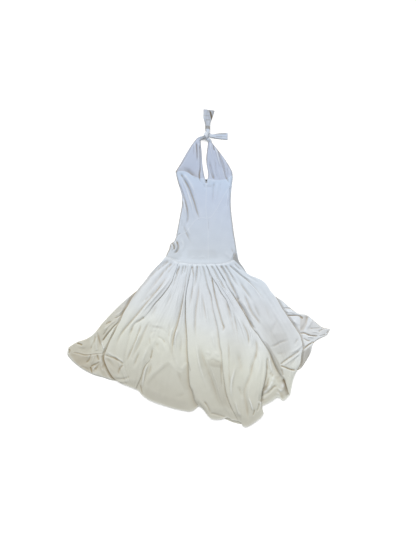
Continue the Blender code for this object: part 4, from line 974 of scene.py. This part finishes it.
def cloth_piece(name, node, points, faces, cut, tones):
    """A piece of cloth in the place of a CAD node, with what its finish reads at each point."""
    mesh = bpy.data.meshes.new(name)
    mesh.from_pydata(points * MM, [], faces)
    mesh.shade_smooth()
    mesh.attributes.new("cut", "FLOAT_VECTOR", "POINT").data.foreach_set("vector", cut.ravel())
    for label, value in tones.items():
        mesh.attributes.new(label, "FLOAT", "POINT").data.foreach_set("value", value)
    mesh.materials.append(CLOTH)
    piece = bpy.data.objects.new(name, mesh)
    bpy.context.scene.collection.objects.link(piece)
    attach(piece, "root")
    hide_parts(node)
    return piece


def shell(name, columns, rows, place, node, relief=1.0):
    """A thin sheet for a CAD node, at the shares columns across it and rows down it.

    place(u, v) gives its points, how much of it is a single layer, how dark it is in painted shade (lighter
    double cloth below 0) and its distance from an edge. relief is how strongly the painted shade in its
    troughs and the painted highlight on its ridges show.
    """
    nu, nv = len(columns), len(rows)
    points, single, dark, rim = place(np.tile(columns, nv), np.repeat(rows, nu))
    grid = points.reshape(nv, nu, 3)
    faces = [
        (j * nu + i, (j + 1) * nu + i, (j + 1) * nu + i + 1, j * nu + i + 1)
        for j in range(nv - 1)
        for i in range(nu - 1)
    ]
    across, down = travelled(grid, 1), travelled(grid, 0)
    proud = above_around(grid[..., 2], across, down).ravel() * relief
    across -= across[:, nu // 2][:, None]
    plan = points[:, :2]
    # Painted shade: warm in troughs, along edges, at petals' feet and where cloth overlaps, grey in the
    # shade patches. Painted highlight on ridges, with the lighter double cloth of seams and hems.
    tones = {
        "single": single,
        "warm_shade": DEEPEN * ease(-proud / TROUGH) + dark + patches(plan, WARM_SHADE_PATCHES),
        "light": ease(proud / RIDGE) + np.maximum(-dark, 0),
        "rim": rim,
        "light_tint": light_tint(points),
        "grey_shade": patches(plan, SHADE_PATCHES),
    }
    cut = np.stack([across, down, np.zeros_like(down)], 2)
    piece = cloth_piece(name, node, points, faces, cut, tones)


def bodice_rise(plan):
    """The front bodice's height on the back and past the back's top edge, and how far past it that is."""
    line = edge(BACK_TOP, np.linspace(0, 1, 60))
    past = plan[:, 1] - np.interp(plan[:, 0], line[:, 0], line[:, 1])
    room = FRONT_Z - BACK_Z
    on_back = room - room * ease((past + DROP_START) / DROP_WIDTH) + BACK_Z
    from_label = np.linalg.norm(plan - np.array(LABEL_MIDDLE), axis=1)
    return on_back + LABEL_ROOM * (1 - ease((from_label - LABEL_REACH) / LABEL_FADE)), past


def close_to_edges(count, length):
    """Shares across a panel, with some more of them close to its two edges."""
    near = np.array(NEAR_EDGES) / length
    return np.unique(np.concatenate([np.linspace(0, 1, count), near, 1 - near]).round(5))


def front_panel(name, edges, width, length):
    """One of the four front bodice panels, with the creases that cross it."""
    columns = close_to_edges(round(width / CELL * FINER_ACROSS), width)
    rows = close_to_edges(round(length / CELL * FINER_DOWN), length)

    def place(u, v):
        plan = patch(*edges, u, v)
        rise, past = bodice_rise(plan)
        rim, seam, hip = nearest(plan, FREE_EDGE), nearest(plan, SEAMS), nearest(plan, HIP_LINE)
        height = creased(plan, BODICE_CREASES) + BODICE_UNEVEN * rough(plan, BODICE_WAVES, 3)
        height = np.maximum(height + PUFF * ease(rim / PUFF_WIDTH), 0)
        from_hip = HIP_SHARE + (1 - HIP_SHARE) * ease(hip / HIP_REACH)
        on_seam = bell(seam / SEAM_WIDTH)
        z = rise + height * (ease(rim / EDGE_WIDTH + EDGE_SHARE) * from_hip) + SEAM_RISE * on_seam
        single = ease(past / 3 + 0.5)
        # Painted shade above the back's top edge, fading upwards and towards the right.
        above = single * np.exp(-np.maximum(past, 0) / BACK_FADE) * ease((20 - plan[:, 0]) / 60)
        dark = BACK_EDGE_SHADE * above + rim_shade(rim) + SEAM_TONE * on_seam + HIP_TONE * bell(hip / HIP_WIDTH)
        return np.column_stack([plan, z]), single + SEAM_SINGLE * on_seam, dark, np.minimum(rim, hip)

    shell(name + "_cloth", columns, rows, place, name, relief=1.6)


def line_points(v):
    """Where each of the front skirt's lines is at the shares v of its length."""
    return np.stack([edge(line.points, v) for line in SKIRT_LINES])


def share_on(table, points):
    """The shares of an edge's length at which it passes nearest to some points."""
    shares = np.linspace(0, 1, 2001)
    line = edge(table, shares)
    return np.array([shares[np.linalg.norm(line - np.array(p, float), axis=1).argmin()] for p in points])


KNOTS = travelled(line_points(np.array([EVEN_SHARE]))[:, 0])
SKIRT_WIDTH = KNOTS[-1]
KNOTS = KNOTS / SKIRT_WIDTH
SEAM_SHARES = share_on(HIP_SEAM, [line.points[0] for line in SKIRT_LINES])
HEM_SHARES = share_on(HEM, [line.points[-1] for line in SKIRT_LINES])
SEAM_SHARES[[0, -1]] = HEM_SHARES[[0, -1]] = 0, 1


def petal_of(u):
    """The petal that each u is in, and its share of the way across that petal."""
    i = np.clip(np.searchsorted(KNOTS, u + 1e-9, side="right") - 1, 0, len(KNOTS) - 2)
    return i, np.clip((u - KNOTS[i]) / (KNOTS[i + 1] - KNOTS[i]), 0, 1)


def skirt_plan(u, v):
    """The front skirt's flat plan: its lines joined across, between the hip seam and the hem."""
    u, v = np.clip(u, 0, 1), np.clip(v, 0, 1)
    i, s = petal_of(u)
    k = np.arange(len(u))

    def across(lines):
        return lines[i, k] * (1 - s[:, None]) + lines[i + 1, k] * s[:, None]

    plan = across(line_points(v))
    for table, shares, end, weight in (
        (HIP_SEAM, SEAM_SHARES, 0.0, 1 - ease(v / SEAM_HOLD)), (HEM, HEM_SHARES, 1.0, ease(v * 5 - 4))
    ):
        meant = edge(table, np.interp(u, KNOTS, shares))
        made = across(line_points(np.full(len(u), end)))
        plan += (meant - made) * weight[:, None]
    return plan


def skirt_petals(u, v):
    """The front skirt's height in its petals, how far it leans and the painted shade at a petal's foot."""
    i, s = petal_of(u)
    k = np.arange(len(u))
    left, right, lean, starts, ends, bulge = np.array([line[:-1] for line in SKIRT_LINES], float).T
    shown = ease((v[:, None] - starts) / STEP_FADE) * (1 - ease((v[:, None] - ends + STEP_FADE) / STEP_FADE))
    level = np.maximum((left + right) / 2, LEAST_PETAL)
    left, right = level + (left - level) * shown, level + (right - level) * shown
    height = right[k, i] * (1 - s) + left[k, i + 1] * s + bulge[i] * np.sin(np.pi * s)
    for low, high, way in ((left[k, i], right[k, i], s), (right[k, i + 1], left[k, i + 1], 1 - s)):
        height = np.where(high > low, low + (height - low) * rounded(way / STEP), height)
    leaning = lean[i] * shown[k, i] * (1 - ease(s / 0.5))
    leaning += lean[i + 1] * shown[k, i + 1] * ease((s - 0.5) / 0.5)
    across = (KNOTS[i + 1] - KNOTS[i]) * SKIRT_WIDTH / FOOT_WIDTH
    foot = np.maximum(left[k, i] - right[k, i], 0) * bell(s * across)
    foot += np.maximum(right[k, i + 1] - left[k, i + 1], 0) * bell((1 - s) * across)
    from_seam = AT_SEAM + (1 - AT_SEAM) * ease(v / SEAM_FADE)
    to_hem = 1 - OFF_HEM * ease((v - OFF_HEM_START) / OFF_HEM_FADE)
    return PETAL_SCALE * height * from_seam * to_hem, leaning, FOOT_SHADE * foot * ease(v / FOOT_FADE)


def skirt_columns():
    """The shares across the front skirt of its columns, closer together where a petal's edge curves down."""
    columns = []
    for a, b, line, following in zip(KNOTS, KNOTS[1:], SKIRT_LINES, SKIRT_LINES[1:]):
        count = max(LEAST_COLUMNS, round((b - a) * SKIRT_WIDTH / CELL))
        shares = set(np.linspace(0, 1, count, endpoint=False).round(5))
        curve = STEP * (1 - np.cos(np.linspace(0, math.pi / 2, CURVE_COLUMNS)))
        if line.right > line.left:
            shares = {x for x in shares if x > STEP} | set(curve.round(5))
        if following.left > following.right:
            shares = {x for x in shares if x < 1 - STEP} | set((1 - curve[1:]).round(5))
        columns += [a + (b - a) * x for x in sorted(shares)]
    return np.array(columns + [1.0])


def skirt_front():
    """The front skirt: petals of cloth that fall from the gathered seam and lie over each other."""
    gathers = np.linspace(0, GATHER_SHARE, GATHER_ROWS)[:-1]
    rows = np.concatenate([gathers, np.linspace(GATHER_SHARE, 1, SKIRT_ROWS)])

    def place(u, v):
        plan = skirt_plan(u, v)
        height, lean, foot = skirt_petals(u, v)
        folds = creased(plan, SKIRT_CREASES)
        folds = np.where(folds < 0, -DEEPEST * np.tanh(-folds / DEEPEST), folds)
        streak = STREAK * uneven(u * STREAK_COUNT[0], v * STREAK_COUNT[1], 5) * ease(v / STREAK_FADE)
        streak += SOFTER * rough(plan, SOFTER_WAVES, 8)
        height = np.maximum(height + LOFT + folds * ease(v / CREASE_FADE) + streak, 0)
        rim = np.minimum(u, 1 - u) * SKIRT_WIDTH
        from_seam = AT_SEAM + (1 - AT_SEAM) * rounded(v / SEAM_ROUND)
        to_end = 1 - OFF_END * ease((v - OFF_END_START) / OFF_END_FADE)
        height = height * rounded(rim / SIDE_ROUND + SIDE_SHARE) * from_seam * to_end
        across = skirt_plan(u + ASIDE, v) - skirt_plan(u - ASIDE, v)
        across /= np.maximum(np.linalg.norm(across, axis=1), 1e-6)[:, None]
        plan = plan + across * (lean * height * ease(rim / SIDE_LEAN) * LEAN)[:, None]
        from_hem = (1 - v) * SKIRT_LENGTH
        # Painted shade along the sides and at petals' feet; a lighter hem and gathered top edge.
        dark = rim_shade(rim) + at_hem(from_hem) + GATHER_TONE * bell(v / GATHER_WIDTH) + foot
        from_edge = np.minimum(from_hem, v * SKIRT_LENGTH)
        return np.column_stack([plan, FRONT_Z + height]), np.zeros(len(u)), dark, from_edge

    columns = skirt_columns()
    shell("front_skirt_cloth", columns, rows, place, "skirt_front", 1.25)


def gore(name, edges, side, node):
    """A side gore: flat under the front's edge, with its folds beside it; side is -1 on the left."""
    front = edge(SKIRT_LEFT if side < 0 else SKIRT_RIGHT, np.linspace(0, 1, 160))
    outer = edges[0] if side < 0 else edges[1]

    def place(u, v):
        plan = patch(*edges, u, v)
        clear = nearest(plan, front)
        level = np.interp(plan[:, 1], front[::-1, 1], front[::-1, 0])
        beyond = (plan[:, 0] - level) * side > 0
        from_outer = np.linalg.norm(plan - outer(v), axis=1)
        from_hem = np.linalg.norm(plan - edges[3](u), axis=1)
        free = np.minimum(from_outer, from_hem)
        body = GORE_HEIGHT + GORE_UNEVEN * rough(plan, GORE_WAVES, 21 + side)
        shown = beyond * ease((clear - GORE_START) / GORE_FADE)
        height = np.maximum(body + creased(plan, GORE_CREASES), 0) * shown
        height = height * rounded(free / GORE_ROUND + GORE_SHARE)
        # Painted shade along the free edges; the left gore's hem is the lighter double hem, the right gore's
        # hem has painted shade.
        dark = rim_shade(from_outer) + at_hem(from_hem) if side < 0 else rim_shade(free)
        # Painted shadow that the front's edge casts on the gore.
        dark += FLAP_SHADOW * bell(clear / FLAP_WIDTH)
        return np.column_stack([plan, BACK_Z + height]), np.zeros(len(u)), dark, free

    columns, rows = np.linspace(0, 1, GORE_COLUMNS), np.linspace(0, 1, GORE_ROWS)
    shell(name, columns, rows, place, node, relief=1.3)


def back_panel(name, edges, columns, rows, node):
    """A back panel, flat on the surface under the dress."""
    def place(u, v):
        plan = patch(*edges, u, v)
        rim = np.min([np.linalg.norm(plan - edges[k](v if k < 2 else u), axis=1) for k in range(4)], axis=0)
        none = np.zeros(len(u))
        return np.column_stack([plan, none + BACK_Z]), none, none, rim

    shell(name, np.linspace(0, 1, columns), np.linspace(0, 1, rows), place, node)


def level_frames(sections, turn):
    """A frame for each section of a tie that lies level; turn is -1 where its face is down."""
    middles = [Vector(section[:3]) for section in sections]
    frames = []
    for k, (*_, width, depth) in enumerate(sections):
        way = (middles[min(k + 1, len(middles) - 1)] - middles[max(k - 1, 0)]).normalized()
        side = way.cross(UP).normalized()
        lift = side.cross(way).normalized()
        frames.append((*middles[k], *(side * turn), *(lift * turn), width, depth))
    return frames


def knot_frames():
    """Frames of the right tie's turn over and round the left one."""
    across = UP.cross(KNOT_AXIS).normalized()
    frames = []
    for share in np.linspace(0, 1, KNOT_STEPS + 1):
        angle = math.radians(KNOT_TURN * share)
        out = UP * math.sin(angle) - across * math.cos(angle)
        wide = UP * math.sin(angle) - across * (math.cos(angle) * KNOT_SPREAD)
        middle = KNOT_MIDDLE + wide * KNOT_RADIUS + KNOT_AXIS * (KNOT_PITCH * (share - 0.5))
        frames.append((*middle, *KNOT_AXIS, *out, KNOT_WIDTH, KNOT_DEPTH))
    return frames


def tie(name, frames, steps, node, seed):
    """A tie: a flattened tube of cloth with pleats along it."""
    table = np.array(frames)
    along = travelled(table[:, :3])
    shares = np.linspace(0, 1, steps)
    rings = through(along / along[-1], table, shares)
    angle = np.linspace(0, math.tau, TIE_CORNERS, endpoint=False)
    across, up = np.cos(angle), np.sin(angle)
    fuller = (np.abs(across) ** TIE_FULLNESS + np.abs(up) ** TIE_FULLNESS) ** (-1 / TIE_FULLNESS)

    def each_corner(values):
        return np.repeat(values, TIE_CORNERS, axis=0)

    def units(columns):
        return each_corner(columns / np.linalg.norm(columns, axis=1)[:, None])

    a = each_corner(shares) * along[-1]
    w = np.tile(across * fuller, steps)
    pleat = PLEAT_UNEVEN * uneven(a / PLEAT_LENGTH, w * PLEAT_PACE, seed, 12)
    pleat += PLEAT_WAVE * np.sin(w * WAVE_PACE + uneven(a / WAVE_LENGTH, w * 0, seed + 1, 6))
    width, depth = each_corner(rings[:, 9]) / 2, each_corner(rings[:, 10]) / 2
    depth = depth * np.tile(up * fuller, steps)
    top = np.tile(np.clip(up * 2, 0, 1), steps)
    rise = depth * (1 + pleat * PLEAT_DEEPEN) + top * pleat * np.minimum(width, PLEAT_WIDEST) * PLEAT_TOP
    points = each_corner(rings[:, :3]) + units(rings[:, 3:6]) * (w * width)[:, None]
    points = points + units(rings[:, 6:9]) * rise[:, None]
    points[:, 2] = np.maximum(points[:, 2], TIE_LOWEST)

    corner = np.arange(steps * TIE_CORNERS).reshape(steps, TIE_CORNERS)
    following = np.roll(corner, -1, axis=1)
    walls = np.stack([corner[:-1], corner[1:], following[1:], following[:-1]], 2).reshape(-1, 4)
    faces = [*walls.tolist(), corner[0].tolist(), corner[-1][::-1].tolist()]
    rim = np.minimum(width * (1 - np.abs(w)), along[-1] - a)
    # Painted grey shade from the shade patches, which also holds back the tie's painted highlight.
    grey_shade = patches(points[:, :2], SHADE_PATCHES)
    # Painted light round the knot, in place of the shade that the ties cast there.
    near = np.exp(-(((points - np.array(KNOT_MIDDLE)) / KNOT_LIGHT) ** 2).sum(axis=1))
    # Painted shade in the pleats' troughs and along the edges, painted highlight on the pleats' tops.
    tones = {
        "single": np.full(len(a), TIE_SINGLE),
        "warm_shade": (PLEAT_SHADE * ease(-pleat * 6) + rim_shade(rim)) * (1 - near) + grey_shade,
        "light": (TIE_LIGHT + PLEAT_HIGHLIGHT * ease(pleat * 6)) * (1 - grey_shade) + near,
        "rim": rim,
        "light_tint": light_tint(points),
        "grey_shade": grey_shade,
    }
    piece = cloth_piece(name, node, points, faces, np.column_stack([w * width, a, np.zeros(len(a))]), tones)


neck_left = joined(NECK_LEFT, CENTRE_UPPER, NECK_SHARE)
neck_right = joined(NECK_RIGHT, CENTRE_UPPER, NECK_SHARE)
armhole_left = joined(ARMHOLE_LEFT, SIDE_LEFT, ARMHOLE_LEFT_SHARE)
armhole_right = joined(ARMHOLE_RIGHT, SIDE_RIGHT, ARMHOLE_RIGHT_SHARE)
tip_left, tip_right, centre = smooth(TIP_LEFT), smooth(TIP_RIGHT), smooth(CENTRE_LOWER)
hip_left, hip_right = smooth(HIP_LEFT), smooth(HIP_RIGHT)
diagonal_left, diagonal_right = smooth(DIAGONAL_LEFT), smooth(DIAGONAL_RIGHT)
seam_left, seam_right = smooth(HIP_SEAM_LEFT), smooth(HIP_SEAM_RIGHT)


def sampled(*edges):
    """Close points along some edges."""
    return np.concatenate([line(np.linspace(0, 1, 250)) for line in edges])


FREE_EDGE = sampled(armhole_left, hip_left, armhole_right, hip_right, smooth(NECK_LEFT), smooth(NECK_RIGHT))
SEAMS = sampled(centre, diagonal_left, diagonal_right, smooth(CENTRE_UPPER))
HIP_LINE = sampled(seam_left, seam_right)
upper_left = (armhole_left, neck_left, tip_left, diagonal_left)
upper_right = (neck_right, armhole_right, tip_right, diagonal_right)
lower_left = (hip_left, centre, diagonal_left, seam_left)
lower_right = (centre, hip_right, diagonal_right, seam_right)
front_panel("front_upper_left", upper_left, 170, 560)
front_panel("front_upper_right", upper_right, 150, 480)
front_panel("front_lower_left", lower_left, 220, 210)
front_panel("front_lower_right", lower_right, 150, 400)
skirt_front()
top_left = smooth((GORE_LEFT_OUTER[0], GORE_LEFT_INNER[0]))
top_right = smooth((GORE_RIGHT_INNER[0], GORE_RIGHT_OUTER[0]))
gore_left = (smooth(GORE_LEFT_OUTER), smooth(GORE_LEFT_INNER), top_left, smooth(GORE_LEFT_HEM))
gore_right = (smooth(GORE_RIGHT_INNER), smooth(GORE_RIGHT_OUTER), top_right, smooth(GORE_RIGHT_HEM[::-1]))
gore("left_gore_cloth", gore_left, -1, "gore_left")
gore("right_gore_cloth", gore_right, 1, "gore_right")
back = (smooth(BACK_LEFT), smooth(BACK_RIGHT), smooth(BACK_TOP), smooth(BACK_SEAM))
back_panel("back_cloth", back, 60, 90, "back")
side_left = joined(BACK_SKIRT_LEFT, GORE_LEFT_INNER, UPPER_SHARE)
side_right = joined(BACK_SKIRT_RIGHT, GORE_RIGHT_INNER, UPPER_SHARE)
back_skirt = (side_left, side_right, smooth(BACK_SEAM), smooth(BACK_HEM))
back_panel("back_skirt_cloth", back_skirt, 100, 100, "skirt_back")
tie("tie_left_cloth", level_frames(TIE_LEFT, 1), 150, "tie_left", 31)
right_tie = level_frames(TIE_RIGHT_START, 1) + knot_frames() + level_frames(TIE_RIGHT_END, -1)
tie("tie_right_cloth", right_tie, 190, "tie_right", 47)


def label_finish():
    """Black woven tape."""
    looks = {"Base Color": (0.012, 0.012, 0.014, 1), "Roughness": 0.6, "Sheen Weight": 0.1}
    made, nodes, links, shader = new_finish("label_finish", looks)
    where = nodes.new("ShaderNodeTexCoord")
    weave = preset(nodes.new("ShaderNodeTexWave"), {"Scale": 900})
    links.new(where.outputs["Object"], weave.inputs["Vector"])
    bump = preset(nodes.new("ShaderNodeBump"), {"Strength": 0.3, "Distance": 0.0003})
    links.new(weave.outputs["Fac"], bump.inputs["Height"])
    links.new(bump.outputs["Normal"], shader.inputs["Normal"])
    return made


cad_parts["label"].material_slots[0].material = label_finish()

bpy.ops.mesh.primitive_plane_add(size=FLOOR_SIZE, location=(0, 0, FLOOR_Z))
floor = bpy.context.object
floor.name = "floor"
floor.data.materials.append(new_finish("floor_finish", {"Base Color": PALE, "Roughness": 0.9})[0])

scene = bpy.context.scene
scene.view_settings.view_transform = "Standard"
world = bpy.data.worlds.new("soft light")
scene.world = world
world.use_nodes = True
preset(world.node_tree.nodes["Background"], {"Color": (1, 1, 1, 1), "Strength": WORLD_LIGHT})

sun = bpy.data.lights.new("window", "SUN")
sun.energy = WINDOW_LIGHT
sun.angle = math.radians(WINDOW_SOFT)
lamp = bpy.data.objects.new("window", sun)
lamp.rotation_euler = (math.radians(WINDOW_TILT), 0, math.radians(WINDOW_TURN))
scene.collection.objects.link(lamp)

view = bpy.data.cameras.new("camera")
view.lens = CAMERA_LENS
view.sensor_width = CAMERA_SENSOR
camera = bpy.data.objects.new("camera", view)
camera.location = CAMERA_PLACE
camera.rotation_euler = (math.radians(CAMERA_TILT), 0, 0)
scene.collection.objects.link(camera)
bpy.context.scene.camera = camera
